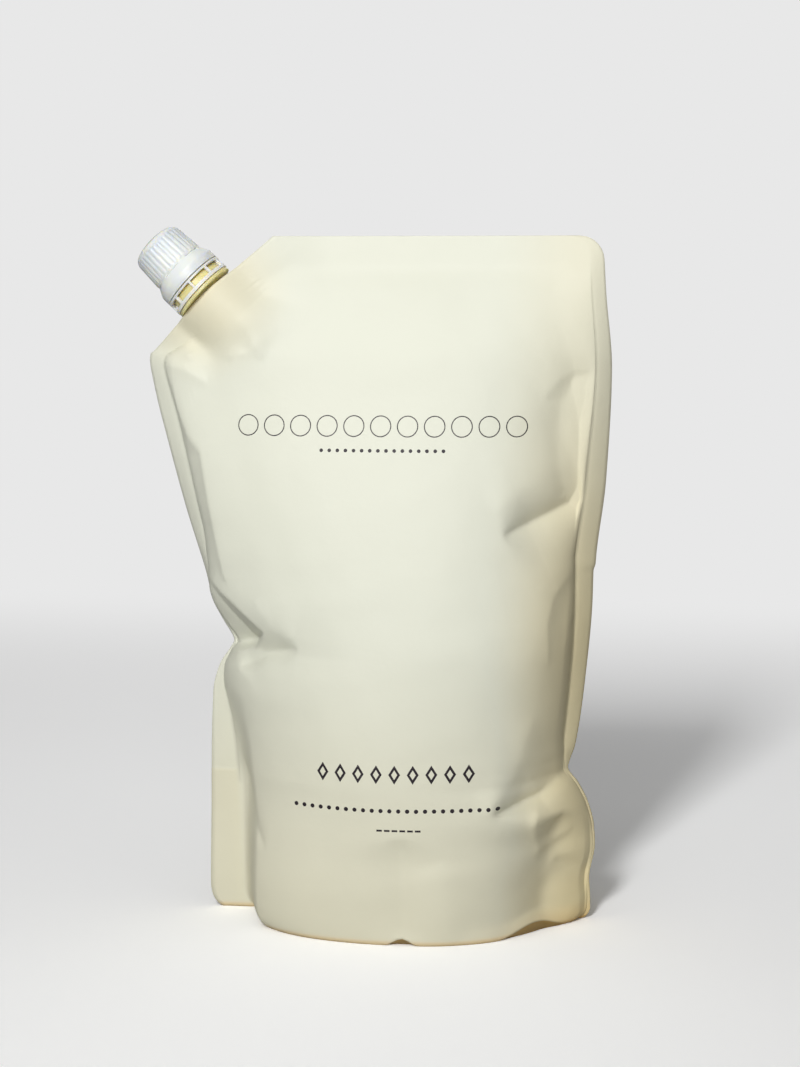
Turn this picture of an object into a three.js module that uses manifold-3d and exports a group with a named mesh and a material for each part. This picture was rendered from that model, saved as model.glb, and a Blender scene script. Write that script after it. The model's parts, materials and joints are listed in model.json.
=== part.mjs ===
// A stand-up refill pouch for liquid hand soap, filled and sealed, with a screw-capped spout in its cut corner.
// Millimetres, +Z up. The front faces -Y, the spout leans towards -X, and the origin is the middle of the base.
import * as THREE from 'three';
import { mergeVertices } from 'three/addons/utils/BufferGeometryUtils.js';
import Module from 'manifold-3d';

const wasm = await Module();
wasm.setup();

// Pouch: heights and the film
const seamTop = 248;
const seamThickness = 1.0;
const topSeal = 9.5;
const cutSeal = 7.5;
const filmOver = 1.2;
const seatGap = 0.3;

// Pouch: the two side edges, with the pinches where the filled pouch draws in
// Each pair in these lists is [height as a share of the top seam's height, value in millimetres]
const leftEdge = [
  [0, -68.5], [0.014, -71.3], [0.036, -72.1], [0.21, -71.7], [0.331, -70.5], [0.369, -68], [0.404, -62.6],
  [0.433, -66.2], [0.466, -70.6], [0.504, -73.2], [0.601, -80.8], [0.692, -86.8], [0.782, -92.1],
];
const rightEdge = [
  [0, 67.6], [0.015, 69.2], [0.06, 68.7], [0.113, 70.7], [0.143, 70.2], [0.177, 67.9], [0.226, 60.6],
  [0.256, 63], [0.357, 66.4], [0.474, 68.7], [0.54, 69.9], [0.649, 73.1], [0.808, 74.8], [0.921, 72.4],
  [0.967, 71.7],
];
const shoulderX = -93.2;
const topCornerRadius = 9;

// Pouch: how wide the flat seam is on each side; beside the folded base the left one is a wide web
const leftSeal = [
  [0, 17], [0.165, 15.8], [0.194, 15.5], [0.234, 11.6], [0.27, 9.4], [0.31, 6.6], [0.347, 3.4],
  [0.371, 1.8], [0.407, 1.2], [0.435, 2.4], [0.484, 5], [0.585, 6.9], [0.734, 7.3], [0.798, 6.2], [0.827, 5.8],
];
const rightSeal = [
  [0, 5], [0.032, 3.5], [0.081, 1.8], [0.202, 1.2], [0.226, 1.2], [0.25, 3.6], [0.282, 5.4],
  [0.399, 6], [0.516, 6.7], [0.621, 7.2], [0.685, 6.3], [0.899, 5.2], [1, 5],
];

// Pouch: how far the front stands out from the seams, the back as a share of it, and how boxy a section is
const frontDepth = [
  [0, 41], [0.077, 42.4], [0.226, 40], [0.375, 34.8], [0.474, 30.3], [0.565, 25.2], [0.647, 20],
  [0.714, 15.8], [0.77, 12.2], [0.827, 8.8], [0.903, 5],
];
const backShare = 0.9;
const sectionPower = 2.3;

// Pouch: the hem under the base, the groove behind it and the film's flat contact with the table
const hemWidth = 1.0;
const grooveHeight = 4;
const grooveCentre = 3;
const contactInset = 8.5;
const hemLifts = [{ x: 4.5, width: 7, height: 2.6 }, { x: 50, width: 13, height: 4.2 }];
const hemLiftReach = 16;

// Pouch: folds and dents of the front film, from one end to the other, depth inwards
const frontFolds = [
  { from: [-66, 101], to: [-44, 110], width: 6, depth: 5 },
  { from: [-62, 93], to: [-46, 95], width: 6, depth: -1.5 },
  { from: [66, 156], to: [34, 147], width: 6, depth: 4 },
  { from: [66, 197], to: [58, 160], width: 7, depth: 3 },
  { from: [64, 60], to: [34, 50], width: 6, depth: 5 },
  { from: [46, 84], to: [40, 58], width: 7, depth: 1.5 },
  { from: [62, 38], to: [46, 34], width: 8, depth: -2.5 },
  { from: [-62, 212], to: [-54, 200], width: 7, depth: 3 },
  { from: [2, 34], to: [3, 0], width: 9, depth: 2.5 },
];
const backFolds = [
  { from: [-66, 104], to: [-34, 92], width: 6, depth: 4.5 },
  { from: [64, 58], to: [30, 50], width: 6, depth: 5 },
  { from: [66, 168], to: [26, 150], width: 7, depth: 4 },
  { from: [-74, 178], to: [-40, 160], width: 7, depth: 3.5 },
];

// Cut corner: its upper end, its slope, and how far its edge bows out over the spout's weld
const cutTop = { x: -47.3, z: seamTop };
const cutSlope = THREE.MathUtils.degToRad(43);
const cutBow = 1.0;

// Spout: where it sits along the cut and how it leans, steeper than the cut itself
const spoutAlongCut = 32;
const spoutSlope = THREE.MathUtils.degToRad(46.5);

// Spout: the boat that is welded between the films, the collar, the flange, the bead, the neck and the bore
const boreRadius = 6.7;
const neckWall = 1.4;
const threadDepth = 0.65;
const boatHalfLength = 15;
const boatWall = 0.9;
const boatDepth = 12;
const boatTip = 0.4;
const collarHeight = 2.7;
const flangeRadius = 12.0;
const flangeThickness = 1.1;
const beadRadius = 10.65;
const beadHeight = 2.3;
const beadTaper = 1.4;
const grooveRadius = 9.2;
const neckHeight = 21.2;

// Tamper band: two rings joined by bars, with a ledge that is caught under the bead
const runningGap = 0.35;
const bandWall = 1.2;
const bandBars = 9;
const barWidth = 0.95;
const bandFootHeight = 1.3;
const windowHeight = 2.7;
const bandTopHeight = 0.8;
const ledgeHeight = 1.0;

// Cap: the skirt, the shoulder and the ribbed barrel
const capGap = 0.35;
const skirtWall = 1.1;
const skirtHeight = 2.9;
const shoulderHeight = 3.4;
const barrelWall = 1.05;
const barrelDraft = 0.6;
const topWall = 2.3;
const topEdge = 3.2;
const domeRise = 0.7;
const ribCount = 33;
const ribHeight = 0.3;

// Sealing liner: a loose foam disc between the neck and the cap's top
const linerThickness = 1.0;

// Fineness of the meshes
const rowHeight = 6;
const bodyColumns = 26;
const baseRows = 10;
const roundSegments = 72;
const boatSegments = 14;

// Sizes that follow from the ones above
const cutDirection = { x: Math.cos(cutSlope), z: Math.sin(cutSlope) };
const cutNormal = { x: -Math.sin(cutSlope), z: Math.cos(cutSlope) };
const spoutDirection = { x: Math.cos(spoutSlope), z: Math.sin(spoutSlope) };
const spoutNormal = { x: -Math.sin(spoutSlope), z: Math.cos(spoutSlope) };
const cutLength = (cutTop.x - shoulderX) / cutDirection.x;
const shoulderZ = cutTop.z - cutLength * cutDirection.z;
const boatHalfThickness = boreRadius + boatWall;
const neckRadius = boreRadius + neckWall;
const bandInner = beadRadius + runningGap;
const bandRadius = bandInner + bandWall;
const bandHeight = bandFootHeight + windowHeight + bandTopHeight;
const flangeTop = -seatGap;
const flangeFoot = flangeTop - flangeThickness;
const boatTop = flangeFoot - collarHeight;
const capFoot = bandHeight + capGap;
const skirtInner = bandRadius - skirtWall;
const capBore = neckRadius + threadDepth + seatGap;
const barrelTopRadius = capBore + barrelWall;
const barrelFootRadius = barrelTopRadius + barrelDraft;
const linerFoot = neckHeight + seatGap;
const capCeiling = linerFoot + linerThickness + seatGap;
const capTop = capCeiling + topWall;
const flangeDrop = flangeRadius * Math.sin(spoutSlope - cutSlope);
const bandSeat = Math.max(cutBow, bowAt(spoutAlongCut + flangeRadius) + flangeDrop) + seatGap - flangeFoot;
const spoutOrigin = new THREE.Vector3(
  cutTop.x - cutDirection.x * spoutAlongCut + cutNormal.x * bandSeat,
  0,
  cutTop.z - cutDirection.z * spoutAlongCut + cutNormal.z * bandSeat,
);

// A smooth line through [share of the height, value] points that never overshoots them
function smoothLine(points, height) {
  const share = height / seamTop;
  if (share <= points[0][0]) return points[0][1];
  const last = points.length - 1;
  if (share >= points[last][0]) return points[last][1];
  const k = points.findIndex((point) => point[0] > share) - 1;
  const slope = (i) => (points[i + 1][1] - points[i][1]) / (points[i + 1][0] - points[i][0]);
  const tangent = (i) => {
    if (i === 0) return slope(0);
    if (i === last) return slope(last - 1);
    const [before, after] = [slope(i - 1), slope(i)];
    return before * after > 0 ? (2 * before * after) / (before + after) : 0;
  };
  const span = points[k + 1][0] - points[k][0];
  const t = (share - points[k][0]) / span;
  return THREE.MathUtils.lerp(points[k][1], points[k + 1][1], t * t * (3 - 2 * t))
    + span * t * (1 - t) * ((1 - t) * tangent(k) - t * tangent(k + 1));
}

const bump = (distance, reach) => (
  Math.abs(distance) < reach ? 0.5 + 0.5 * Math.cos((Math.PI * distance) / reach) : 0
);

// How far the cut edge stands out from the straight cut, at a distance along it from its upper end
function bowAt(along) {
  return cutBow * Math.sin(Math.PI * THREE.MathUtils.clamp(along / cutLength, 0, 1)) ** 2;
}

// Where the cut edge crosses a height
function cutEdge(height) {
  const along = (cutTop.z - height) / cutDirection.z;
  return cutTop.x - cutDirection.x * along - bowAt(along) / Math.sin(cutSlope);
}

function leftAt(height) {
  const side = leftEdge.concat([[shoulderZ / seamTop, shoulderX]]);
  return height > shoulderZ ? cutEdge(height) : smoothLine(side, height);
}

// The right edge, with the round corner where it meets the top seam
function rightAt(height) {
  const edge = smoothLine(rightEdge, height);
  const intoCorner = height - (seamTop - topCornerRadius);
  if (intoCorner <= 0) return edge;
  return edge - topCornerRadius + Math.sqrt(Math.max(topCornerRadius ** 2 - intoCorner ** 2, 0));
}

function leftSealAt(height) {
  return height > shoulderZ ? cutSeal / Math.sin(cutSlope) : smoothLine(leftSeal, height);
}

function foldDepth(folds, x, height) {
  return folds.reduce((sum, fold) => {
    const [dx, dz] = [fold.to[0] - fold.from[0], fold.to[1] - fold.from[1]];
    const length = Math.hypot(dx, dz);
    const along = ((x - fold.from[0]) * dx + (height - fold.from[1]) * dz) / length ** 2;
    const across = ((x - fold.from[0]) * dz - (height - fold.from[1]) * dx) / length;
    return sum + fold.depth * bump(along - 0.5, 0.75) * Math.exp(-((across / fold.width) ** 2));
  }, 0);
}

// Half the pouch's thickness over the spout's boat, fading into the body below it
function boatCover(x, height) {
  const [dx, dz] = [x - spoutOrigin.x, height - spoutOrigin.z];
  const along = dx * spoutDirection.x + dz * spoutDirection.z;
  const up = dx * spoutNormal.x + dz * spoutNormal.z;
  const below = Math.max(boatTop - boatDepth - filmOver - up, 0);
  const lens = Math.max(boatHalfThickness * (1 - (along / boatHalfLength) ** 2), boatTip);
  const reach = boatHalfLength + 4 * filmOver;
  const ends = 1 - THREE.MathUtils.smoothstep(Math.abs(along), boatHalfLength + filmOver, reach);
  return (lens + filmOver) * ends * bump(below, 2 * boatDepth);
}

// One point of the front (side -1) or back (side +1): between the flat seams a section is a boxy ellipse
function filmPoint(side, column, height) {
  const [left, right] = [leftAt(height), rightAt(height)];
  const [leftWidth, rightWidth] = [leftSealAt(height), smoothLine(rightSeal, height)];
  const sealColumns = 2;
  const lastColumn = bodyColumns + 2 * sealColumns;
  const half = (right - rightWidth - left - leftWidth) / 2;
  const top = 1 - THREE.MathUtils.smoothstep(height, seamTop - 3 * topSeal, seamTop - topSeal);
  const share = side < 0 ? 1 : backShare;
  const depth = smoothLine(frontDepth, height) * share * top;
  let x = left + (leftWidth * column) / sealColumns;
  let body = 0;
  if (column > lastColumn - sealColumns) {
    x = right - (rightWidth * (lastColumn - column)) / sealColumns;
  } else if (column >= sealColumns) {
    const angle = (Math.PI / 2) * ((2 * (column - sealColumns)) / bodyColumns - 1);
    const across = Math.sign(angle) * Math.abs(Math.sin(angle)) ** (2 / sectionPower);
    x = left + leftWidth + half * (1 + across);
    body = depth * Math.max(Math.cos(angle), 0) ** (2 / sectionPower);
    const inset = Math.min(body / 6, 1);
    body -= foldDepth(side < 0 ? frontFolds : backFolds, x, height) * inset;
  }
  const cover = boatCover(x, height);
  const thickness = seamThickness / 2 + Math.cbrt(Math.max(body, 0) ** 3 + cover ** 3);
  return new THREE.Vector3(x, side * thickness, height);
}

function hemLift(x) {
  return hemLifts.reduce((sum, lift) => sum + lift.height * bump(x - lift.x, lift.width), 0);
}

// The front's hem waves off the table here and there; the film above it follows
function frontPoint(column, height) {
  const point = filmPoint(-1, column, height);
  point.z += hemLift(point.x) * Math.max(1 - height / hemLiftReach, 0);
  return point;
}

// The underside: hem, groove, flat contact with the table, groove, hem
function basePoint(front, back, row) {
  const depth = back.y - front.y;
  const hem = Math.min(hemWidth, depth / 4);
  const groove = Math.min(grooveCentre, depth / 3);
  const flat = Math.min(contactInset, depth / 2.2);
  const stops = [hem, groove, flat];
  const fromEdge = Math.min(row, baseRows - row);
  const inner = (baseRows - 2 * stops.length) / 2;
  const offset = fromEdge <= stops.length
    ? stops[fromEdge - 1]
    : flat + ((depth / 2 - flat) * (fromEdge - stops.length)) / inner;
  const y = row <= baseRows / 2 ? front.y + offset : back.y - offset;
  const rise = fromEdge === 2 ? Math.min(grooveHeight, depth / 6) : 0;
  const hemHeight = row < baseRows / 2 ? front.z : back.z;
  return new THREE.Vector3(front.x, y, fromEdge === 1 ? hemHeight : rise);
}

// The pouch as one closed surface: front, back, the two side edges, the top edge and the underside
function pouchGeometry() {
  const heights = [];
  const steps = Math.round(seamTop / rowHeight);
  for (let k = 0; k < steps; k += 1) heights.push((seamTop * k) / steps);
  const corner = [seamTop - topCornerRadius / 2, seamTop - topCornerRadius / 6, seamTop];
  const rows = heights.filter((height) => height < corner[0] - 1).concat(corner);
  const columns = bodyColumns + 4;
  const points = [];
  const add = (point) => points.push(point) - 1;
  const front = rows.map((height) => Array.from({ length: columns + 1 }, (_, i) => add(frontPoint(i, height))));
  const back = rows.map((height) => Array.from({ length: columns + 1 }, (_, i) => add(filmPoint(1, i, height))));
  const base = [front[0]];
  for (let row = 1; row < baseRows; row += 1) {
    base.push(front[0].map((_, i) => (
      i === 0 || i === columns ? -1 : add(basePoint(points[front[0][i]], points[back[0][i]], row))
    )));
  }
  base.push(back[0]);

  const faces = [];
  const quad = (a, b, c, d) => faces.push(a, b, c, a, c, d);
  for (let j = 0; j < rows.length - 1; j += 1) {
    for (let i = 0; i < columns; i += 1) {
      quad(front[j][i], front[j][i + 1], front[j + 1][i + 1], front[j + 1][i]);
      quad(back[j][i + 1], back[j][i], back[j + 1][i], back[j + 1][i + 1]);
    }
    quad(back[j][0], front[j][0], front[j + 1][0], back[j + 1][0]);
    quad(front[j][columns], back[j][columns], back[j + 1][columns], front[j + 1][columns]);
  }
  const topRow = rows.length - 1;
  for (let i = 0; i < columns; i += 1) {
    quad(front[topRow][i], front[topRow][i + 1], back[topRow][i + 1], back[topRow][i]);
  }
  for (let row = 0; row < baseRows; row += 1) {
    for (let i = 1; i < columns - 1; i += 1) {
      quad(base[row][i], base[row + 1][i], base[row + 1][i + 1], base[row][i + 1]);
    }
    faces.push(front[0][0], base[row + 1][1], base[row][1]);
    faces.push(front[0][columns], base[row][columns - 1], base[row + 1][columns - 1]);
  }
  faces.push(front[0][0], back[0][0], back[0][1]);
  faces.push(front[0][columns], back[0][columns - 1], back[0][columns]);

  const geometry = new THREE.BufferGeometry().setFromPoints(points);
  geometry.setIndex(faces);
  return geometry;
}

function solidOf(source) {
  const geometry = source.clone();
  geometry.deleteAttribute('normal');
  geometry.deleteAttribute('uv');
  const merged = mergeVertices(geometry, 1e-4);
  return new wasm.Manifold(new wasm.Mesh({
    numProp: 3,
    vertProperties: new Float32Array(merged.getAttribute('position').array),
    triVerts: new Uint32Array(merged.getIndex().array),
  }));
}

function geometryOf(solid) {
  const mesh = solid.getMesh();
  const geometry = new THREE.BufferGeometry();
  geometry.setAttribute('position', new THREE.BufferAttribute(new Float32Array(mesh.vertProperties), 3));
  geometry.setIndex(new THREE.BufferAttribute(new Uint32Array(mesh.triVerts), 1));
  geometry.computeVertexNormals();
  return geometry;
}

// A turned shape about local Z from [radius, height] points listed from the foot up the outside
function turned(profile, segments = roundSegments) {
  const points = profile.map(([radius, height]) => new THREE.Vector2(radius, height));
  return new THREE.LatheGeometry(points, segments).rotateX(Math.PI / 2);
}

// The boat's lens section, grown by a clearance, as a straight solid between two heights
function boatSolid(clearance, low, high) {
  const outline = [];
  for (let k = 0; k <= boatSegments; k += 1) {
    const along = -1 + (2 * k) / boatSegments;
    const half = Math.max(boatHalfThickness * (1 - along ** 2), boatTip) + clearance;
    outline.push(new THREE.Vector2(along * (boatHalfLength + clearance), half));
  }
  const mirrored = outline.map((point) => new THREE.Vector2(point.x, -point.y)).reverse();
  const shape = new THREE.Shape(outline.concat(mirrored));
  return new THREE.ExtrudeGeometry(shape, { depth: high - low, bevelEnabled: false }).translate(0, 0, low);
}

const spoutPlace = new THREE.Group();
spoutPlace.position.copy(spoutOrigin);
spoutPlace.rotation.y = -spoutSlope;
spoutPlace.updateMatrix();

function pouchSolid() {
  const pocket = boatSolid(seatGap, boatTop - boatDepth - seatGap, boatTop + 2 * bandHeight);
  return geometryOf(solidOf(pouchGeometry()).subtract(solidOf(pocket.applyMatrix4(spoutPlace.matrix))));
}

function spoutSolid() {
  const grooveTop = ledgeHeight + runningGap;
  const beadTop = grooveTop + beadHeight;
  const body = turned([
    [0, boatTop - boatWall], [boatHalfThickness, boatTop - boatWall], [boatHalfThickness, flangeFoot],
    [flangeRadius, flangeFoot], [flangeRadius, flangeTop], [grooveRadius, flangeTop],
    [grooveRadius, grooveTop], [beadRadius, grooveTop], [beadRadius, beadTop],
    [neckRadius + threadDepth, beadTop + beadTaper], [neckRadius, beadTop + beadTaper],
    [neckRadius, neckHeight], [0, neckHeight],
  ]);
  const bore = turned([
    [0, boatTop - boatDepth - 1], [boreRadius, boatTop - boatDepth - 1], [boreRadius, capTop], [0, capTop],
  ]);
  const boat = boatSolid(0, boatTop - boatDepth, boatTop);
  return geometryOf(solidOf(body).add(solidOf(boat)).subtract(solidOf(bore)));
}

function tamperBandSolid() {
  const ledgeInner = grooveRadius + runningGap;
  const ring = turned([
    [ledgeInner, 0], [bandRadius, 0], [bandRadius, bandHeight], [bandInner, bandHeight],
    [bandInner, ledgeHeight], [ledgeInner, ledgeHeight], [ledgeInner, 0],
  ]);
  let band = solidOf(ring);
  const pitch = (2 * Math.PI) / bandBars;
  const open = pitch - barWidth / bandRadius;
  for (let k = 0; k < bandBars; k += 1) {
    const start = k * pitch;
    const window = new THREE.Shape();
    window.absarc(0, 0, bandRadius + bandWall, start, start + open, false);
    window.absarc(0, 0, bandInner - runningGap / 2, start + open, start, true);
    const cutter = new THREE.ExtrudeGeometry(window, {
      depth: windowHeight, bevelEnabled: false, curveSegments: roundSegments / bandBars,
    }).translate(0, 0, bandFootHeight);
    band = band.subtract(solidOf(cutter));
  }
  return geometryOf(band);
}

// The cap's profile from the skirt's foot up the outside, over the top and down the inside
function capSolid() {
  const skirtTop = capFoot + skirtHeight;
  const shoulderTop = skirtTop + shoulderHeight;
  const edgeFoot = capTop - topEdge;
  const ribFree = ribHeight;
  const profile = [
    [skirtInner, capFoot], [bandRadius, capFoot], [bandRadius, skirtTop],
    [barrelFootRadius, shoulderTop],
    [barrelFootRadius - ribFree, shoulderTop + ribHeight], [barrelTopRadius - ribFree, edgeFoot],
    [barrelTopRadius - topEdge * 0.12, capTop - topEdge * 0.6],
    [barrelTopRadius - topEdge * 0.4, capTop - topEdge * 0.22],
    [barrelTopRadius - topEdge, capTop], [0, capTop + domeRise],
    [0, capCeiling], [capBore, capCeiling], [capBore, shoulderTop - skirtWall],
    [skirtInner, skirtTop - skirtWall / 2], [skirtInner, capFoot],
  ];
  const ribbed = new Set([4, 5]);
  const segments = 2 * ribCount;
  const geometry = turned(profile, segments);
  const position = geometry.getAttribute('position');
  for (let i = 0; i <= segments; i += 2) {
    for (const j of ribbed) {
      const index = i * profile.length + j;
      const scale = (profile[j][0] + ribHeight) / profile[j][0];
      position.setXY(index, position.getX(index) * scale, position.getY(index) * scale);
    }
  }
  return geometryOf(solidOf(geometry));
}

function linerSolid() {
  return turned([
    [0, linerFoot], [neckRadius + threadDepth, linerFoot],
    [neckRadius + threadDepth, linerFoot + linerThickness], [0, linerFoot + linerThickness],
  ]);
}

function piece(name, geometry, material) {
  const mesh = new THREE.Mesh(geometry, material);
  mesh.name = name;
  return mesh;
}

const film = new THREE.MeshStandardMaterial({ color: 0xeeeedd, roughness: 0.55, metalness: 0 });
const naturalPolythene = new THREE.MeshStandardMaterial({ color: 0xecd48a, roughness: 0.4, metalness: 0 });
const whitePolythene = new THREE.MeshStandardMaterial({ color: 0xf4f4f2, roughness: 0.4, metalness: 0 });
const foam = new THREE.MeshStandardMaterial({ color: 0xf0efe8, roughness: 0.9, metalness: 0 });

const refillPack = new THREE.Group();
refillPack.add(piece('pouch', pouchSolid(), film), spoutPlace);
spoutPlace.add(
  piece('spout', spoutSolid(), naturalPolythene),
  piece('tamper_band', tamperBandSolid(), whitePolythene),
  piece('cap', capSolid(), whitePolythene),
  piece('sealing_liner', linerSolid(), foam),
);

export default refillPack;
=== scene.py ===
"""A filled hand soap refill pouch: printed film, corner spout, tamper band, ribbed cap and its stage."""
import json
import math

import bmesh
import bpy
import numpy as np
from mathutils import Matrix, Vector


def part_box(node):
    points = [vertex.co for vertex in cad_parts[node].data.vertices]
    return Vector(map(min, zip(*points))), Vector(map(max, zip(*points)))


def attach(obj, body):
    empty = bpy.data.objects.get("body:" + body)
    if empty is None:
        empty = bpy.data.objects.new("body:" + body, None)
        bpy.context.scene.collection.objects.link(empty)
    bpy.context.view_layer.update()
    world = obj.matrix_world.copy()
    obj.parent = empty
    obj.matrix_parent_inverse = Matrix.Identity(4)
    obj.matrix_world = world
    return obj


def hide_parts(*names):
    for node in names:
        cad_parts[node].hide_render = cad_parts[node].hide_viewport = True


bl_info = {
    "name": "Soap Refill Pouch",
    "version": (1, 0, 0),
    "blender": (4, 5, 0),
    "location": "View3D > Sidebar > Refill Pouch",
    "description": "Builds the film, spout, tamper band, cap and liner of a filled stand-up pouch",
    "category": "Add Mesh",
}

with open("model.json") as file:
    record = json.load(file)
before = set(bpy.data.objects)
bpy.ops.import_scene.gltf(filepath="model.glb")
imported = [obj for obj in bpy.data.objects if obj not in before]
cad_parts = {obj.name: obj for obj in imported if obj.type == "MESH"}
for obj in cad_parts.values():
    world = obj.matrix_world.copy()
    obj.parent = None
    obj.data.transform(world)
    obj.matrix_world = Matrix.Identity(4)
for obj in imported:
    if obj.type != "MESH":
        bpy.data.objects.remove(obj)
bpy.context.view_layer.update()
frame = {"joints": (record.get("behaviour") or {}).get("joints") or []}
POUCH_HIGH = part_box("pouch")[1]

MM = 0.001
FRONT, BACK = -1, 1
# How much brighter the paper looks to the camera than it is, in front and behind, as in an overexposed sweep
PAPER_LIFT, PAPER_LIFT_BEHIND = 1.3, 1.85
# The depths in metres over which the paper's lift changes, and over which it turns into the plain backdrop
PAPER_LIFT_CHANGE, PAPER_BACKDROP = (-0.2, 0.5), (0.25, 0.8)

# The film is drawn in mm with its top seam at this height, and scaled to the size asked for
DRAWN_TOP = 248.0

# The side edges of the filled pouch as (height, x), with the pinches where the film draws in
LEFT_EDGE = [
    (0, -67.5), (1.6, -69.8), (5, -71.6), (9, -72.1), (52, -71.7), (82, -70.5), (91.5, -68),
    (98.4, -63.6), (100.6, -62.5), (102.6, -63.2), (107.3, -66.2), (115.5, -70.6), (125, -73.2),
    (149, -80.8), (171.5, -86.8), (194, -92.1), (203.5, -93.4), (206.0, -92.9),
]
RIGHT_EDGE = [
    (0, 66.4), (1.4, 68.2), (4, 69.2), (9, 69.1), (15, 68.7), (28, 70.7), (35.5, 70.2), (44, 67.9),
    (51, 64.2), (56, 60.6), (59, 61.4), (63.5, 63), (88.5, 66.4), (117.5, 68.7), (127.6, 68.9),
    (130, 69.6), (134, 69.9), (161, 73.1), (200.5, 74.8), (228.5, 72.4), (239.8, 71.7),
]
# How wide the flat seal is on each side as (height, width); beside the folded base the left is a wide web
LEFT_SEAL = [
    (0, 12.5), (41, 11.6), (48, 11.2), (58, 10.2), (67, 8.8), (77, 6.4), (86, 3.6), (92, 2), (101, 0.8),
    (118, 0.8), (130, 3.4), (145, 6.2), (182, 7.3), (198, 6.2), (205, 5.8),
]
RIGHT_SEAL = [
    (0, 1.6), (8, 1.0), (20, 0.7), (50, 0.7), (56, 1.2), (62, 3.6), (70, 5.2), (99, 6), (117.5, 6.4),
    (127.6, 6.6), (130, 7.3), (134, 7.6), (161, 7.3), (200.5, 5.8), (228.5, 5.2), (248, 5),
]
# How far the outer edge of each seal curls backwards, as (height, distance)
LEFT_CURL = [
    (0, 0), (60, 0.2), (98, 0.8), (112, 2.5), (130, 5), (150, 5.5), (180, 4), (203, 2.4), (216, 0),
]
RIGHT_CURL = [
    (0, 0.5), (50, 1), (56, 2), (62, 4.5), (99, 7), (128, 6.5), (160, 5.5), (200, 4), (225, 2.5), (248, 0.5),
]
# How far the front stands out from the seams' plane, as (height, depth)
FRONT_DEPTH = [
    (0, 41), (19, 42.4), (56, 41.8), (93, 38.2), (117.5, 33.2), (140, 27.2), (160.5, 21.2), (177, 16.3),
    (191, 12.3), (205, 8.8), (217, 5.6), (228, 2.7), (238.5, 0), (248, 0),
]
BACK_SHARE = 0.9
# How boxy the sections are in the middle: 2 is an ellipse, and more is flatter in front with steeper sides
SECTION_POWER = 2.3
# The left half's sections begin and hold fully at these shares of the half width, left of the middle
LEFT_HALF = (-0.3, 0.6)
# The arc's share of a section: on the right it fades out over these heights, on the left it comes and goes
ARC_SHARE, ARC_FADE = 0.8, (30, 110)
LEFT_ARC_MIDDLE, LEFT_ARC_REACH = 80, 65
# The pillow's power, its share on the right, what it loses on the left, and the heights where it fades in
PILLOW_POWER, PILLOW_SHARE, PILLOW_LOSS, PILLOW_FADE = 3.2, 0.85, 0.6, (90, 170)
# The share of the half width in which the body rises out of the web, and the heights where this fades
WEB_START, WEB_FADE = 0.16, (45, 90)
# Slow waves of the film as (seed, length, height)
FILM_WAVES = [(5, 46, 0.28), (11, 17, 0.07)]
# Creases are full where the body is this deep, fade in over these heights, move the film sideways by this
# share of their depth, and push in by at least this share on steep walls
CREASE_ROOM, CREASE_FOOT, CREASE_SHIFT, CREASE_LEAST = 3, (-8, 6), 0.5, 0.35
# Where the hem waves off the table, as (x, half width, height) in mm, and how far up the waves reach
HEM_LIFTS = [(4.5, 6, 2.4), (50, 13, 3.6)]
HEM_LIFT_REACH = 18
# The seams' plane sways near the side edges: how far, over what length, its start on each side, and at what x
SWAY, SWAY_LENGTH, SWAY_STARTS, SWAY_X = 1.6, 31, (0.6, 2.7), (52, 76)
# The top seam waves along its length, above these heights, and leans back
TOP_WAVE, TOP_WAVE_LENGTH, TOP_WAVE_START, TOP_WAVE_FADE = 1.2, 42, 20, (190, DRAWN_TOP)
TOP_LEAN, TOP_LEAN_FROM, TOP_LEAN_POWER = 5, 205, 1.4
# No sway at the table or round the spout, and the seals curl more and more towards their edge
SWAY_FOOT, SWAY_SPOUT, CURL_POWER = (4, 40), (20, 50), 1.3
# The groove behind the hem: the hem's width, where the groove starts, how wide and high it is, and the width
# of base that has a full one
HEM_WIDTH, GROOVE_START, GROOVE_WIDTH, GROOVE_CROWN, FULL_BASE = 1.0, 1.2, 7.4, 4.2, 62
# Warmth of the film: the web's own warmer cream, warmth round the spout within these distances, painted
# warm shade on the shaded right side at the top and lower down and at the right foot, and warmth just above
# the table
WEB_WARMTH, SPOUT_WARMTH, SPOUT_GLOW = 0.32, 0.4, (10, 36)
PAINTED_SHADE_WARMTH, PAINTED_LOW_SHADE_WARMTH, SHADE_X, SHADE_HEIGHT = 0.25, 0.6, (30, 66), (90, 220)
FOOT_X, FOOT_HEIGHT = (20, 70), (10, 60)
TABLE_WARMTH, TABLE_HEIGHT = 0.3, (0, 120)
# Painted glow of light through the soap, with painted shade of the underside: how golden the film is painted
# on the base, the hem's edge and the right foot
PAINTED_BASE_GLOW, PAINTED_HEM_GLOW, HEM_EDGE = 0.75, 0.5, (0.3, 2.2)
PAINTED_FOOT_GLOW, FOOT_EDGE = 0.3, (2, 9)

# Columns across each seal and across the body, rows, the heights round which rows lie closer together and how
# far that reaches, and extra rows at the round corner as shares of its radius below the seam
SEAL_COLUMNS, BODY_COLUMNS, FILM_ROWS = 7, 177, 238
BUSY_HEIGHTS, BUSY_REACH = [8, 50, 102, 128, 149, 208], 22
CORNER_ROWS = np.array([0.2, 0.1, 0.04])
# A crease is cut off this share of its length past its ends, fades over these shares at its start and end,
# and its reach shrinks there to no less than the last share
CREASE_PAST, CREASE_IN, CREASE_OUT, CREASE_TIP = 0.1, 0.3, 0.5, 0.05

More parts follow.
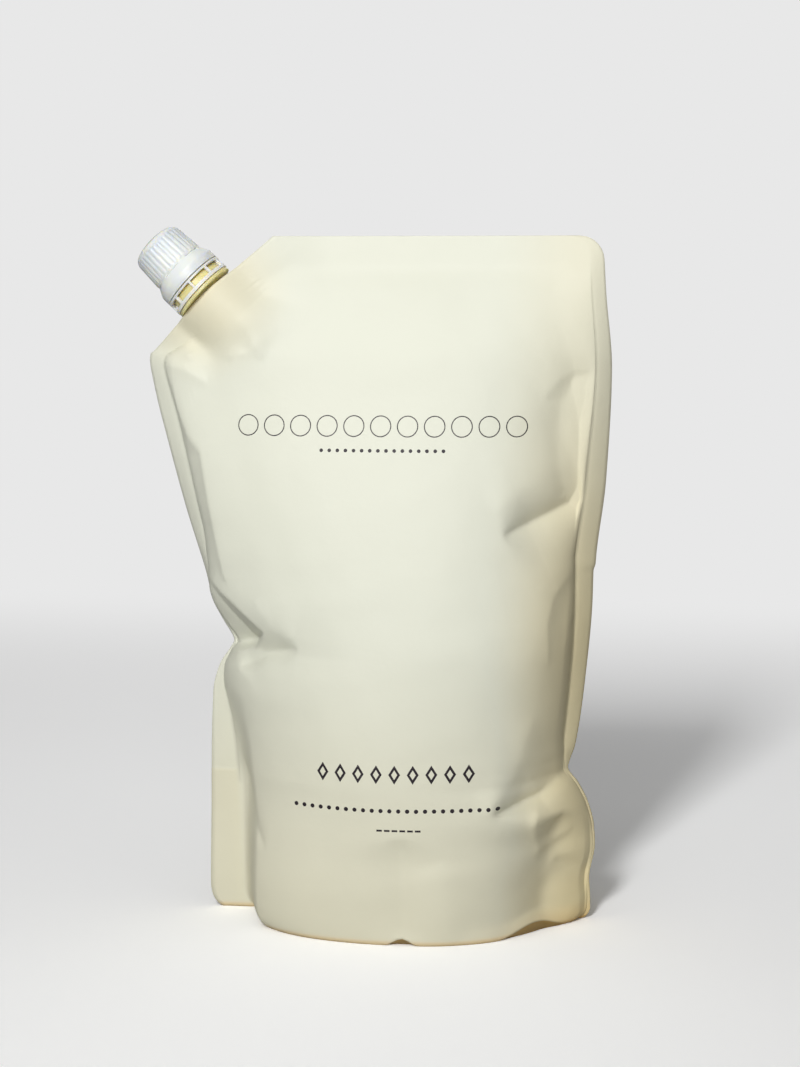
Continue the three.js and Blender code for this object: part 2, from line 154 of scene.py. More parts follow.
# Creases of the front: depth inwards, reach to the left and to the right of the way it is drawn,
# how soft its bottom is, and the line itself as (x, height)
FRONT_CREASES = [
    # the buckle under the right seal at two thirds of the height: dark above a sharp line
    (8.0, 9.0, 7.0, 0.6, [(70, 156), (62, 153.6), (54, 149.4), (47.4, 146.4), (40, 143.4)]),
    (-1.0, 8.0, 8.0, 3.0, [(60, 168), (48, 162), (36, 152)]),
    # the crescent under the notch in the right seal: a ridge, then a wall falling to the seal
    (-1.6, 3.0, 8.0, 0.5, [(66, 129.5), (60, 127), (55.6, 121), (53.6, 112), (54.4, 98)]),
    (3.2, 14.0, 5.5, 1.6, [(66, 128.5), (61.4, 123), (59.6, 112), (59.6, 98), (59.8, 80), (60, 62)]),
    # the soft valley under the upper right seal
    (4.2, 22.0, 7.5, 2.5, [(70, 199), (62, 196.6), (58, 189), (57, 178), (57.4, 166), (59, 157)]),
    (-0.9, 3.0, 6.0, 1.0, [(66, 201), (57, 198), (51.6, 191)]),
    (0.6, 2.0, 4.0, 1.0, [(66, 234), (56.2, 231), (51, 229)]),
    # the pinch at the right of the folded base: dark above a sharp line, and a bright plate below it
    (7.5, 2.2, 8.0, 0.5, [(66, 57), (61, 56), (56.6, 52.8), (52.5, 49.8), (46, 48), (38, 46)]),
    (-2.2, 7.0, 2.0, 0.6, [(51, 46), (50.2, 40), (51.4, 35), (53.3, 31), (57.5, 32.6), (63, 36)]),
    (-1.6, 7.0, 5.0, 2.0, [(34, 47), (43, 60), (49, 78)]),
    (3.0, 6.0, 3.0, 1.5, [(72, 14.5), (66, 19.5), (60, 25.5)]),
    # the dimple beside the pinch of the left seal
    (3.4, 5.0, 3.0, 0.6, [(-56, 94), (-47.6, 99), (-41.5, 101), (-35, 102.4)]),
    (-1.0, 4.0, 6.0, 2.0, [(-36, 107), (-44, 110), (-50, 118)]),
    # the long valley beside the left seal, up to the peak under the shoulder
    (-2.4, 9.0, 3.2, 0.5, [(-87, 197), (-82.6, 188), (-77.1, 176), (-71.8, 171), (-69.5, 158), (-66, 141),
                           (-62.5, 126)]),
    (-1.6, 3.0, 6.0, 0.8, [(-92, 199), (-86, 202), (-79, 200.6), (-71, 196)]),
    # the shoulder under the spout
    (-1.5, 3.0, 3.0, 0.8, [(-87, 218), (-80.6, 209.9), (-76, 203.6)]),
    (2.4, 4.5, 5.0, 1.5, [(-62.6, 221), (-58.6, 214), (-55.6, 207.5)]),
    (-1.6, 4.0, 3.0, 1.0, [(-65.4, 226), (-59.6, 219.6), (-54.2, 213.4), (-50, 205)]),
    (1.4, 5.0, 7.0, 2.0, [(-77, 213), (-70, 206), (-62, 203)]),
    # the hem's wave and the soft folds over the base
    (2.0, 6.0, 8.0, 3.0, [(4.6, 36), (4.5, 18), (4.8, -2)]),
    (-1.2, 8.0, 8.0, 4.0, [(18, 28), (22, 2)]),
    (2.2, 2.0, 3.5, 0.5, [(-58, 56), (-55, 47), (-52, 39), (-47, 31)]),
    (11.0, 14.0, 12.0, 3.0, [(59, 40), (56, 18), (54, -12)]),
]
# Flat facets of the pinch half way up the left seal: depths at three corners, and the corners as (x, height)
FRONT_FACETS = [
    ((0, 0, 9), [(-74, 128), (-47, 107.4), (-53.4, 103)]),
    ((0, 9, 9), [(-74, 128), (-53.4, 103), (-72, 96.8)]),
    ((9, 0, 0), [(-53.4, 103), (-47, 107.4), (-51.6, 100.8)]),
    ((9, 9, 0), [(-72, 96.8), (-53.4, 103), (-51.6, 100.8)]),
    ((9, 0, 0), [(-72, 96.8), (-51.6, 100.8), (-72, 94.4)]),
]
BACK_CREASES = [
    (4.5, 2.4, 7.0, 1.0, [(-68, 103), (-52, 99), (-36, 93)]),
    (-2.2, 7.0, 4.0, 2.0, [(-64, 110), (-50, 106), (-38, 100)]),
    (5.0, 2.4, 6.0, 1.0, [(66, 57), (50, 53), (31, 50)]),
    (-2.6, 8.0, 5.0, 3.0, [(62, 42), (48, 40)]),
    (4.0, 2.4, 9.0, 1.4, [(69, 167), (50, 160), (28, 150)]),
    (3.2, 6.0, 3.0, 1.2, [(-82, 181), (-66, 172), (-44, 160)]),
    (2.6, 4.0, 6.0, 1.5, [(-80, 208), (-68, 200), (-60, 188)]),
    (1.8, 6.0, 6.0, 3.0, [(-20, 30), (-22, 2)]),
]


def metres(name, value, text):
    """A length property: value is in mm, as the other sizes here are."""
    return bpy.props.FloatProperty(name=name, description=text, default=value * MM, unit="LENGTH", min=0.0)


def colour(name, value, text):
    """A colour property from an sRGB hex value."""
    return bpy.props.FloatVectorProperty(
        name=name, description=text, subtype="COLOR", size=4, min=0.0, max=1.0, default=linear(value))


def linear(hex_value):
    """The linear RGBA of an sRGB hex colour: below 0.04045 a straight line, above it a power of 2.4."""
    srgb = np.array([(hex_value >> shift) & 255 for shift in (16, 8, 0)]) / 255
    rgb = np.where(srgb <= 0.04045, srgb / 12.92, ((srgb + 0.055) / 1.055) ** 2.4)
    return (*map(float, rgb), 1.0)


class RefillPouchSizes(bpy.types.PropertyGroup):
    """Sizes of the welded film."""
    top: metres("Top", 248, "Height of the top seam above the table")
    cut_seal: metres("Cut seal", 7.5, "Width of the flat weld along the cut corner")
    gusset_rise: metres("Base fold", 52, "Height to which the folded base film is welded in")
    seam: metres("Seam", 0.6, "Thickness of two films welded together")
    web_seam: metres("Web", 1.0, "Thickness where the folded base adds two more films")
    cover: metres("Cover", 1.0, "How far the film stands off the spout's boat")
    corner_radius: metres("Corner", 9, "Radius of the rounded top corner")


class RefillClosureSizes(bpy.types.PropertyGroup):
    """Sizes of the spout, the tamper band, the cap and the liner, along the spout's axis."""
    bore: metres("Bore", 6.7, "Radius of the spout's bore")
    neck_wall: metres("Neck wall", 1.4, "Wall of the neck")
    thread: metres("Thread", 0.65, "Height of the thread")
    lead: metres("Lead", 5, "Rise of the two-start thread in one turn")
    flange: metres("Flange", 12.0, "Radius of the flange on the film's edge")
    bead: metres("Bead", 10.65, "Radius of the bead that holds the band")
    band_wall: metres("Band wall", 1.2, "Wall of the tamper band")
    gap: metres("Gap", 0.35, "Running gap between the moving mouldings")
    seat: metres("Seat", 0.3, "Gap between pieces that touch")
    neck: metres("Neck", 21.2, "Height of the neck's mouth above the band's foot")
    groove: metres("Groove", 9.2, "Radius of the groove that holds the band's ledge")
    band: metres("Band", 4.8, "Height of the tamper band")
    band_foot: metres("Band foot", 1.3, "Height of the band's lower ring")
    window: metres("Window", 2.7, "Height of the band's windows")
    bar: metres("Bar", 0.95, "Width of the band's bars")
    ledge: metres("Ledge", 1.0, "Height of the band's ledge")
    skirt: metres("Skirt", 2.9, "Height of the cap's skirt")
    shoulder: metres("Shoulder", 3.4, "Height of the cap's conical shoulder")
    roof: metres("Roof", 2.3, "Thickness of the cap's top")
    liner: metres("Liner", 1.0, "Thickness of the liner")
    rib: metres("Rib", 0.22, "Height of the cap's ribs")
    slit: metres("Slit", 0.35, "Depth of the slits round the cap's shoulder")
    ribs: bpy.props.IntProperty(name="Ribs", description="Ribs round the cap", default=33, min=3)
    slits: bpy.props.IntProperty(name="Slits", description="Slits round the cap's shoulder", default=6, min=1)
    bars: bpy.props.IntProperty(name="Bars", description="Bars of the tamper band", default=9, min=2)


class RefillPackColours(bpy.types.PropertyGroup):
    """Colours of the pack, as they look in plain light; the hem colour is a painted glow through the soap,
    and the web's cream also tints painted warm shade.
    """
    film: colour("Film", 0xDFE0D0, "Cream of the printed film")
    # The web's cream is also the tint of the painted warm shade on the film
    web: colour("Web", 0xE2D3A6, "Cream where the film lies in four layers")
    hem: colour("Hem", 0xDDB05A, "Folded base film and its hem, lit through the soap")
    # The hem colour is a painted glow of light through the soap, with the painted shade of the underside
    ink: colour("Ink", 0x2A2228, "Dark ink of the print")
    straw: colour("Spout", 0xFFE49C, "Unpigmented polythene of the spout")
    white: colour("Cap", 0xFBF8E8, "White of the cap and the band")
    foam: colour("Liner", 0xECEAE0, "Foam of the liner")
    floor: colour("Floor", 0xF4F4F4, "Paper that the pack stands on")
    bounce: colour("Bounce", 0xC4C4C2, "Paper as it throws light back on the pack")
    backdrop: colour("Backdrop", 0xE8E8E8, "Paper behind, lit by itself")


class RefillStageSizes(bpy.types.PropertyGroup):
    """Camera and lamps."""
    distance: metres("Distance", 765.3, "From the pack's axis to the camera, along the table")
    height: metres("Height", 230.3, "Camera above the table")
    aside: metres("Aside", -0.96, "Camera moved to its own right")
    azimuth: bpy.props.FloatProperty(
        name="Azimuth", description="Camera round from the front", default=math.radians(6.94),
        subtype="ANGLE")
    pitch: bpy.props.FloatProperty(
        name="Pitch", description="Camera looking down", default=math.radians(6.66), subtype="ANGLE")
    lens: bpy.props.FloatProperty(
        name="Lens", description="Focal length on a frame 36 mm high", default=71.68, unit="CAMERA")
    lamp_distance: metres("Lamp distance", 1200, "From the middle of the pack to the key lamp")
    lamp_width: metres("Lamp width", 150, "Width of the key lamp")
    lamp_height: metres("Lamp height", 400, "Height of the key lamp")
    lamp_turn: bpy.props.FloatProperty(
        name="Lamp turn", description="Key lamp round to the left", default=math.radians(8), subtype="ANGLE")
    lamp_rise: bpy.props.FloatProperty(
        name="Lamp rise", description="Key lamp above the pack", default=math.radians(33), subtype="ANGLE")
    lamp_lift: bpy.props.FloatProperty(
        name="Lamp lift", description="Key lamp aimed above the middle", default=math.radians(14),
        subtype="ANGLE")
    lamp_spread: bpy.props.FloatProperty(
        name="Lamp spread", description="Cone of the key lamp", default=math.radians(115), subtype="ANGLE")
    key: bpy.props.FloatProperty(name="Key", description="Power of the key lamp", default=4.05, unit="POWER")
    top_light: bpy.props.FloatProperty(
        name="Top light", description="Power of the wide lamp overhead", default=2.6, unit="POWER")
    card: bpy.props.FloatProperty(
        name="Card", description="Power of the low, wide lamp beside the camera", default=5.0, unit="POWER")
    rear: bpy.props.FloatProperty(
        name="Rear", description="Power of the wide lamp behind the pack", default=5.0, unit="POWER")
    fill: bpy.props.FloatProperty(name="Fill", description="Strength of the sky light", default=0.14)


# Shapes in numpy

def smooth_line(points, height):
    """The value at each height on a cubic through (height, value) points that never overshoots them."""
    knots, values = np.array(points, float).T
    slope = np.diff(values) / np.diff(knots)
    before, after = slope[:-1], slope[1:]
    same = before * after > 0
    inner = np.where(same, 2 * before * after / np.where(same, before + after, 1), 0)
    tangent = np.concatenate([[slope[0]], inner, [slope[-1]]])
    h = np.clip(height, knots[0], knots[-1])
    k = np.clip(np.searchsorted(knots, h, side="right") - 1, 0, len(knots) - 2)
    span = knots[k + 1] - knots[k]
    t = (h - knots[k]) / span
    line = values[k] + (values[k + 1] - values[k]) * t * t * (3 - 2 * t)
    return line + span * t * (1 - t) * ((1 - t) * tangent[k] - t * tangent[k + 1])


def smoothstep(value, low, high):
    """0 below low, 1 above high, and 3t^2 - 2t^3 between."""
    t = np.clip((value - low) / (high - low), 0, 1)
    return t * t * (3 - 2 * t)


def bump(distance, reach):
    """One period of a cosine, 1 at distance 0 and 0 from reach outwards."""
    return np.where(np.abs(distance) < reach, 0.5 + 0.5 * np.cos(np.pi * distance / reach), 0)


def crease_depth(creases, x, z):
    """Depth inwards of a list of creases at each point of the flattened film.

    Across its line a crease falls off as exp(-(sqrt(q^2 + soft^2) - soft) / reach), with a reach of its own
    on each side. Along the line its depth and its reach fade in and out together as a quarter sine over the
    end stretches, so that it runs out in a cone as film does.
    """
    depth = np.zeros_like(x)
    for amount, reach_left, reach_right, soft, path in creases:
        path = np.array(path, float)
        steps = np.diff(path, axis=0)
        lengths = np.hypot(*steps.T)
        starts = np.concatenate([[0], np.cumsum(lengths)[:-1]])
        nearest = np.full(x.shape, np.inf)
        signed = np.zeros_like(x)
        along = np.zeros_like(x)
        for (px, pz), (sx, sz), length, start in zip(path[:-1], steps, lengths, starts):
            t = ((x - px) * sx + (z - pz) * sz) / length ** 2
            inside = np.clip(t, 0, 1)
            gap = np.hypot(x - px - inside * sx, z - pz - inside * sz)
            side = np.sign(sx * (z - pz) - sz * (x - px))
            closer = gap < nearest
            nearest = np.where(closer, gap, nearest)
            signed = np.where(closer, side * gap, signed)
            along = np.where(closer, start + t * length, along)
        total = lengths.sum()
        share = along / total
        fade = np.sin(np.clip((share + CREASE_PAST) / CREASE_IN, 0, 1) * np.pi / 2)
        fade = fade * np.sin(np.clip((1 + CREASE_PAST - share) / CREASE_OUT, 0, 1) * np.pi / 2)
        reach = np.where(signed > 0, reach_left, reach_right) * np.maximum(fade, CREASE_TIP)
        across = np.exp(-(np.hypot(signed, soft * fade) - soft * fade) / reach)
        depth = depth + amount * across * fade
    return depth


def facet_depth(facets, x, z):
    """Depth inwards of flat triangular facets: linear between the depths at the corners, 0 outside."""
    depth = np.zeros_like(x)
    for depths, corners in facets:
        (ax, az), (bx, bz), (cx, cz) = corners
        area = (bx - ax) * (cz - az) - (cx - ax) * (bz - az)
        b_share = ((x - ax) * (cz - az) - (cx - ax) * (z - az)) / area
        c_share = ((bx - ax) * (z - az) - (x - ax) * (bz - az)) / area
        a_share = 1 - b_share - c_share
        inside = (a_share >= 0) & (b_share >= 0) & (c_share >= 0)
        level = a_share * depths[0] + b_share * depths[1] + c_share * depths[2]
        depth = np.maximum(depth, np.where(inside, level, 0))
    return depth


def slow_waves(x, z, seed, length, height):
    """A sum of twelve plane waves of seeded direction and phase, about length mm long and height mm high."""
    rng = np.random.default_rng(seed)
    total = np.zeros_like(x)
    for _ in range(12):
        turn, phase, scale = rng.uniform(0, np.pi), rng.uniform(0, 2 * np.pi), rng.uniform(0.7, 1.6)
        k = 2 * np.pi / (length * scale)
        total = total + np.sin(k * (x * np.cos(turn) + z * np.sin(turn)) + phase)
    return total * height / math.sqrt(12)


CUT_TOP = (-47.3, DRAWN_TOP)
CUT_SLOPE, SPOUT_SLOPE = math.radians(43), math.radians(46.5)
CUT_BOW, CUT_LENGTH = 1.0, 62.76
SHOULDER = LEFT_EDGE[-1][0]
# The foot of the tamper band on the spout's axis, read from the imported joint, and the axis itself
SPOUT_FOOT = np.array(next(j for j in frame["joints"] if j["name"] == "cap_turn")["pos_m"], float) / MM
SPOUT_ALONG = np.array([math.cos(SPOUT_SLOPE), 0, math.sin(SPOUT_SLOPE)])
SPOUT_AXIS = np.array([-math.sin(SPOUT_SLOPE), 0, math.cos(SPOUT_SLOPE)])
FLANGE_FOOT, BOAT_TOP, BOAT_DEPTH = -1.4, -4.1, 12.0
BOAT_HALF, BOAT_TIP, BOAT_WALL, BOAT_TUBE = 15.0, 0.4, 0.9, 0.4
# Below the boat the film's tent widens by this share, ends over so many clearances, and goes so many boats
# down
TENT_WIDENING, TENT_ENDS, TENT_REACH = 0.5, 12, 3


def cut_edge(height):
    """x of the cut edge at each height: a straight cut that bows out as a squared sine."""
    along = (CUT_TOP[1] - height) / math.sin(CUT_SLOPE)
    bow = CUT_BOW * np.sin(np.pi * np.clip(along / CUT_LENGTH, 0, 1)) ** 2
    return CUT_TOP[0] - math.cos(CUT_SLOPE) * along - bow / math.sin(CUT_SLOPE)


def on_spout(points):
    """Points in mm given along the weld, along +Y and out of the spout, moved to the spout's place."""
    along, y, out = np.asarray(points, float).T
    sideways = y[:, None] * np.array([0, 1, 0])
    return SPOUT_FOOT + along[:, None] * SPOUT_ALONG + sideways + out[:, None] * SPOUT_AXIS


def film_edges(height, sizes):
    """Left and right edge and the two seal widths at each height, with the cut and the round corner."""
    above = height > SHOULDER
    left = np.where(above, cut_edge(height), smooth_line(LEFT_EDGE, height))
    radius = sizes.corner_radius / MM
    into = np.clip(height - (DRAWN_TOP - radius), 0, radius)
    right = smooth_line(RIGHT_EDGE, height) - radius + np.sqrt(np.maximum(radius ** 2 - into ** 2, 0))
    beside, across = smooth_line(LEFT_SEAL, height), sizes.cut_seal / MM / math.sin(CUT_SLOPE)
    left_seal = beside + (across - beside) * smoothstep(height, SHOULDER - 5, SHOULDER + 9)
    return left, right, left_seal, smooth_line(RIGHT_SEAL, height)


def boat_cover(x, z, clearance):
    """Half thickness over the spout's boat: a lens along the weld that widens and fades into the body."""
    dx, dz = x - SPOUT_FOOT[0], z - SPOUT_FOOT[2]
    along = dx * SPOUT_ALONG[0] + dz * SPOUT_ALONG[2]
    up = dx * SPOUT_AXIS[0] + dz * SPOUT_AXIS[2]
    half = bpy.context.scene.refill_closure.bore / MM + BOAT_WALL
    below = np.maximum(BOAT_TOP - BOAT_DEPTH - clearance - up, 0)
    width = BOAT_HALF + TENT_WIDENING * below
    lens = np.maximum(half * (1 - (along / width) ** 2), BOAT_TIP)
    ends = 1 - smoothstep(np.abs(along), width + clearance, width + TENT_ENDS * clearance)
    return (lens + clearance) * ends * bump(below, TENT_REACH * BOAT_DEPTH)


def film_sheet(side, columns, heights, sizes):
    """The front or back film as x, y, z arrays over columns and heights.

    Between two flat seals each level is a superellipse, |x/half|^n + |y/rise|^n = 1. It blends into an arc
    near the table on the right and half way up on the left, and into a pillow, y = rise (1 - |x/half|^m),
    high up. At the lower left it starts softly at the web. Creases and slow waves push it in along the
    superellipse's normal.
    """
    z = np.broadcast_to(heights[:, None], (len(heights), len(columns))).copy()
    left, right, left_seal, right_seal = film_edges(z, sizes)
    half = (right - right_seal - left - left_seal) / 2
    share = 1.0 if side == FRONT else BACK_SHARE
    rise = np.maximum(smooth_line(FRONT_DEPTH, z) * share, 0.02)
    c = np.broadcast_to(columns[None, :], z.shape)
    in_body = np.abs(c) <= 1
    angle = np.clip(c, -1, 1) * np.pi / 2
    across = np.sign(angle) * np.abs(np.sin(angle)) ** (2 / SECTION_POWER)
    out = np.maximum(np.cos(angle), 0) ** (2 / SECTION_POWER)
    x = left + left_seal + half * (1 + across)
    x = np.where(c < -1, left + left_seal * (c + 2), x)
    x = np.where(c > 1, right - right_seal * (2 - c), x)
    radius = (half ** 2 + rise ** 2) / (2 * rise)
    arc = (np.sqrt(radius ** 2 - (half * across) ** 2) - radius + rise) / rise
    to_left = smoothstep(-across, *LEFT_HALF)
    pillow = 1 - np.abs(across) ** PILLOW_POWER
    right_arc = (1 - to_left) * (1 - smoothstep(z, *ARC_FADE))
    arc_share = ARC_SHARE * (right_arc + to_left * bump(z - LEFT_ARC_MIDDLE, LEFT_ARC_REACH))
    pillow_share = (PILLOW_SHARE - PILLOW_LOSS * to_left) * smoothstep(z, *PILLOW_FADE)
    shape = arc_share * arc + pillow_share * pillow + (1 - arc_share - pillow_share) * out
    beside_web = 1 - smoothstep(1 - np.abs(across), 0, WEB_START)
    web_start = to_left * (1 - smoothstep(z, *WEB_FADE)) * beside_web
    body = np.where(in_body, rise * shape * (1 - web_start), 0)

    creases = FRONT_CREASES if side == FRONT else BACK_CREASES
    depth = crease_depth(creases, x, z)
    if side == FRONT:
        depth = depth + facet_depth(FRONT_FACETS, x, z)
    for seed, length, height in FILM_WAVES:
        depth = depth + slow_waves(x, z, seed + side, length, height)
    depth = depth * np.clip(body / CREASE_ROOM, 0, 1) * smoothstep(z, *CREASE_FOOT)
    normal_x = np.abs(across) ** (SECTION_POWER - 1) * np.sign(across) / half
    normal_y = out ** (SECTION_POWER - 1) / rise
    size = np.hypot(normal_x, normal_y)
    # The sixth power keeps the film beside a seal from folding over the seal's line
    x = x - np.where(in_body, CREASE_SHIFT * depth * normal_x / size * (1 - across ** 6), 0)
    body = np.maximum(body - depth * np.maximum(normal_y / size, CREASE_LEAST), 0)

    cover = boat_cover(x, z, sizes.cover / MM)
    low = (z < sizes.gusset_rise / MM) & ~in_body
    seam = np.where(low, sizes.web_seam, sizes.seam) / MM / 2
    y = side * (seam + np.cbrt(body ** 3 + cover ** 3))
    if side == FRONT:
        lift = sum(h * bump(x - cx, w) for cx, w, h in HEM_LIFTS)
        z = z + lift * np.maximum(1 - z / HEM_LIFT_REACH, 0)
    return x, y, z


def seam_sway(x, z, sizes):
    """How far back each point of the film leans: the plane's sway, the top's lean and the seals' curl."""
    sway = SWAY * np.sin(z / SWAY_LENGTH + np.where(x < 0, *SWAY_STARTS)) * smoothstep(np.abs(x), *SWAY_X)
    wave = TOP_WAVE * np.sin((x + TOP_WAVE_START) / TOP_WAVE_LENGTH) * smoothstep(z, *TOP_WAVE_FADE)
    lean = TOP_LEAN * np.clip((z - TOP_LEAN_FROM) / (DRAWN_TOP - TOP_LEAN_FROM), 0, 1) ** TOP_LEAN_POWER
    spout = smoothstep(np.hypot(x - SPOUT_FOOT[0], z - SPOUT_FOOT[2]), *SWAY_SPOUT)
    left, right, left_seal, right_seal = film_edges(z, sizes)
    on_left = np.clip(1 - (x - left) / left_seal, 0, 1)
    on_right = np.clip(1 - (right - x) / right_seal, 0, 1)
    curl = smooth_line(LEFT_CURL, z) * on_left ** CURL_POWER
    curl = curl + smooth_line(RIGHT_CURL, z) * on_right ** CURL_POWER
    return (sway + wave + lean) * smoothstep(z, *SWAY_FOOT) * spout + curl


def quads(rows, columns, offset, flip):
    """Faces of a grid of rows by columns vertices, numbered from offset."""
    index = offset + np.arange(rows * columns).reshape(rows, columns)
    a, b, c, d = index[:-1, :-1], index[:-1, 1:], index[1:, 1:], index[1:, :-1]
    faces = np.stack([a, b, c, d], -1).reshape(-1, 4)
    return faces[:, ::-1] if flip else faces


def mesh_piece(name, points_mm, faces, material, smooth=True):
    """A mesh object at the origin from points in mm and a list of face arrays."""
    mesh = bpy.data.meshes.new(name)
    polygons = [face.tolist() for group in faces for face in group]
    mesh.from_pydata((np.asarray(points_mm) * MM).tolist(), [], polygons)
    mesh.materials.append(material)
    mesh.polygons.foreach_set("use_smooth", [smooth] * len(mesh.polygons))
    mesh.update()
    piece = bpy.data.objects.new(name, mesh)
    bpy.context.collection.objects.link(piece)
    return piece


def point_values(piece, name, values):
    """Stores one number for each point, for the material to read."""
    attribute = piece.data.attributes.new(name, "FLOAT", "POINT")
    attribute.data.foreach_set("value", np.asarray(values, np.float32).ravel())


def rounded(corners):
    """A profile of (radius, height) points from (radius, height, fillet) corners.

    Each fillet is an arc tangent to the two sides: it starts fillet / tan(half the corner) from the corner.
    """
    points = []
    count = len(corners)
    for k, (r, z, fillet) in enumerate(corners):
        here = np.array([r, z], float)
        if fillet <= 0 or k in (0, count - 1) and corners[0][:2] != corners[-1][:2]:
            points.append(here[None])
            continue
        before = np.array(corners[k - 1][:2], float) - here
        after = np.array(corners[(k + 1) % count][:2], float) - here
        before_unit, after_unit = before / np.linalg.norm(before), after / np.linalg.norm(after)
        half = math.acos(np.clip(before_unit @ after_unit, -1, 1)) / 2
        reach = fillet / math.tan(half)
        middle = before_unit + after_unit
        centre = here + middle / np.linalg.norm(middle) * fillet / math.sin(half)
        start, end = here + before_unit * reach - centre, here + after_unit * reach - centre
        steps = max(3, int(4 * (math.pi - 2 * half)) + 1)
        t = np.linspace(0, 1, steps)[:, None]
        sweep = math.pi - 2 * half
        arc = (np.sin((1 - t) * sweep) * start + np.sin(t * sweep) * end) / math.sin(sweep)
        points.append(centre + arc)
    return np.concatenate(points)


def refined(profile, step):
    """The same profile with its long stretches cut into pieces no longer than step mm."""
    out = [profile[:1]]
    for a, b in zip(profile[:-1], profile[1:]):
        pieces = max(1, int(np.ceil(np.linalg.norm(b - a) / step)))
        out.append(a + (b - a) * np.linspace(0, 1, pieces + 1)[1:, None])
    return np.concatenate(out)


def revolved(profile, count, radius_of=None):
    """Points and faces of a profile turned about local Z.

    A profile that starts and ends on the axis closes at two poles, and any other closes on itself.
    radius_of(radius, height, angle) may change the radius round the turn.
    """
    poles = profile[0][0] == 0 and profile[-1][0] == 0
    ring = profile[1:-1] if poles else profile
    angle = np.arange(count) * 2 * np.pi / count
    r = np.broadcast_to(ring[:, :1], (len(ring), count))
    z = np.broadcast_to(ring[:, 1:], (len(ring), count))
    a = np.broadcast_to(angle, r.shape)
    if radius_of:
        r = radius_of(r, z, a)
    points = np.stack([r * np.cos(a), r * np.sin(a), z], -1).reshape(-1, 3)
    index = np.arange(len(ring) * count).reshape(len(ring), count)
    after = np.roll(index, -1, axis=1)
    if poles:
        low, high = index[:-1], index[1:]
        low_after, high_after = after[:-1], after[1:]
    else:
        low, high = index, np.roll(index, -1, axis=0)
        low_after, high_after = after, np.roll(after, -1, axis=0)
    faces = [np.stack([low, low_after, high_after, high], -1).reshape(-1, 4)]
    if poles:
        first, last = len(points), len(points) + 1
        points = np.concatenate([points, [[0, 0, profile[0][1]], [0, 0, profile[-1][1]]]])
        faces.append(np.stack([after[0], index[0], np.full(count, first)], -1))
        faces.append(np.stack([index[-1], after[-1], np.full(count, last)], -1))
    return points, faces


def facing_out(piece):
    """Turns the faces of a closed piece outwards."""
    work = bmesh.new()
    work.from_mesh(piece.data)
    bmesh.ops.remove_doubles(work, verts=work.verts, dist=1e-7)
    bmesh.ops.recalc_face_normals(work, faces=work.faces)
    work.to_mesh(piece.data)
    work.free()
    piece.data.update()


# Materials

def node(tree, kind, settings=None, links=None):
    """Adds a shader node with its settings, and links its inputs from other nodes' outputs."""
    new = tree.nodes.new(kind)
    for key, value in (settings or {}).items():
        if isinstance(key, int) or key in new.inputs:
            new.inputs[key].default_value = value
        else:
            setattr(new, key, value)
    for key, source in (links or {}).items():
        tree.links.new(source, new.inputs[key])
    return new


def plain_material(name, **settings):
    """A material with one Principled shader, and its tree, shader and object coordinates."""
    material = bpy.data.materials.new(name)
    material.use_nodes = True
    tree = material.node_tree
    shader = tree.nodes["Principled BSDF"]
    for key, value in settings.items():
        shader.inputs[key.replace("_", " ")].default_value = value
    coords = node(tree, "ShaderNodeTexCoord").outputs["Object"]
    return material, tree, shader, coords


def per_metre(width_mm):
    """The scale of a pattern whose features are that many mm wide."""
    return 1 / (width_mm * MM)


def matt_laminate(colours):
    """Cream polyester and polythene laminate with a matt overprint: a soft sheen and faint ripples.

    The grain is 0.4 mm wide, coarser than the real one so that it shows, and the ripples are 9 mm wide.
    """
    material, tree, shader, coords = plain_material("matt_laminated_film", Roughness=0.5, IOR=1.5)
    shader.inputs["Specular IOR Level"].default_value = 0.3
    # The film is tinted towards the web's cream in the web, and as painted warm shade on the right side and
    # the foot
    warmth = node(tree, "ShaderNodeAttribute", {"attribute_name": "warmth"}).outputs["Fac"]
    base = node(tree, "ShaderNodeMix", {"data_type": "RGBA", 6: colours.film, 7: colours.web}, {0: warmth})
    ink_mask = print_mask(tree)
    under = node(tree, "ShaderNodeAttribute", {"attribute_name": "under"}).outputs["Fac"]
    # Painted glow of light through the soap and painted shade of the underside, in the hem colour
    glow_tinted = node(tree, "ShaderNodeMix", {"data_type": "RGBA", 7: colours.hem},
                  {0: under, 6: base.outputs[2]})
    inked = node(tree, "ShaderNodeMix", {"data_type": "RGBA", 7: colours.ink},
                 {0: ink_mask, 6: glow_tinted.outputs[2]})
    tree.links.new(inked.outputs[2], shader.inputs["Base Color"])
    grain = node(tree, "ShaderNodeTexNoise", {"Scale": per_metre(0.385), "Detail": 2.0}, {"Vector": coords})
    ripple = node(tree, "ShaderNodeTexNoise", {"Scale": per_metre(9.09), "Detail": 3.0}, {"Vector": coords})
    fine = node(tree, "ShaderNodeBump", {"Strength": 0.10, "Distance": 0.0001},
                {"Height": grain.outputs["Fac"]})
    both = node(tree, "ShaderNodeBump", {"Strength": 0.22, "Distance": 0.0008},
                {"Height": ripple.outputs["Fac"], "Normal": fine.outputs["Normal"]})
    tree.links.new(both.outputs["Normal"], shader.inputs["Normal"])
    return material


# Rows of plain marks on the front: middle x, height, count, pitch, size of a mark, kind, all in mm
PRINT_ROWS = [
    (-6.0, 180.8, 11, 9.6, 7.6, "ring"),
    (-5.2, 172.3, 16, 2.9, 1.3, "dot"),
    (2.1, 61.3, 9, 6.4, 6.6, "lozenge"),
    (2.0, 48.5, 24, 3.1, 1.5, "dot"),
    (3.6, 41.5, 6, 2.7, 2.2, "dash"),
]
# The ring's line in mm, how many times a lozenge is as high as wide and a dash as long as high, and the
# lozenge's hole and the dash's half length as shares of their size
RING_LINE, LOZENGE_SLIM, DASH_SLIM, LOZENGE_HOLE, DASH_HALF = 0.38, 1.6, 2.8125, 0.26, 0.45


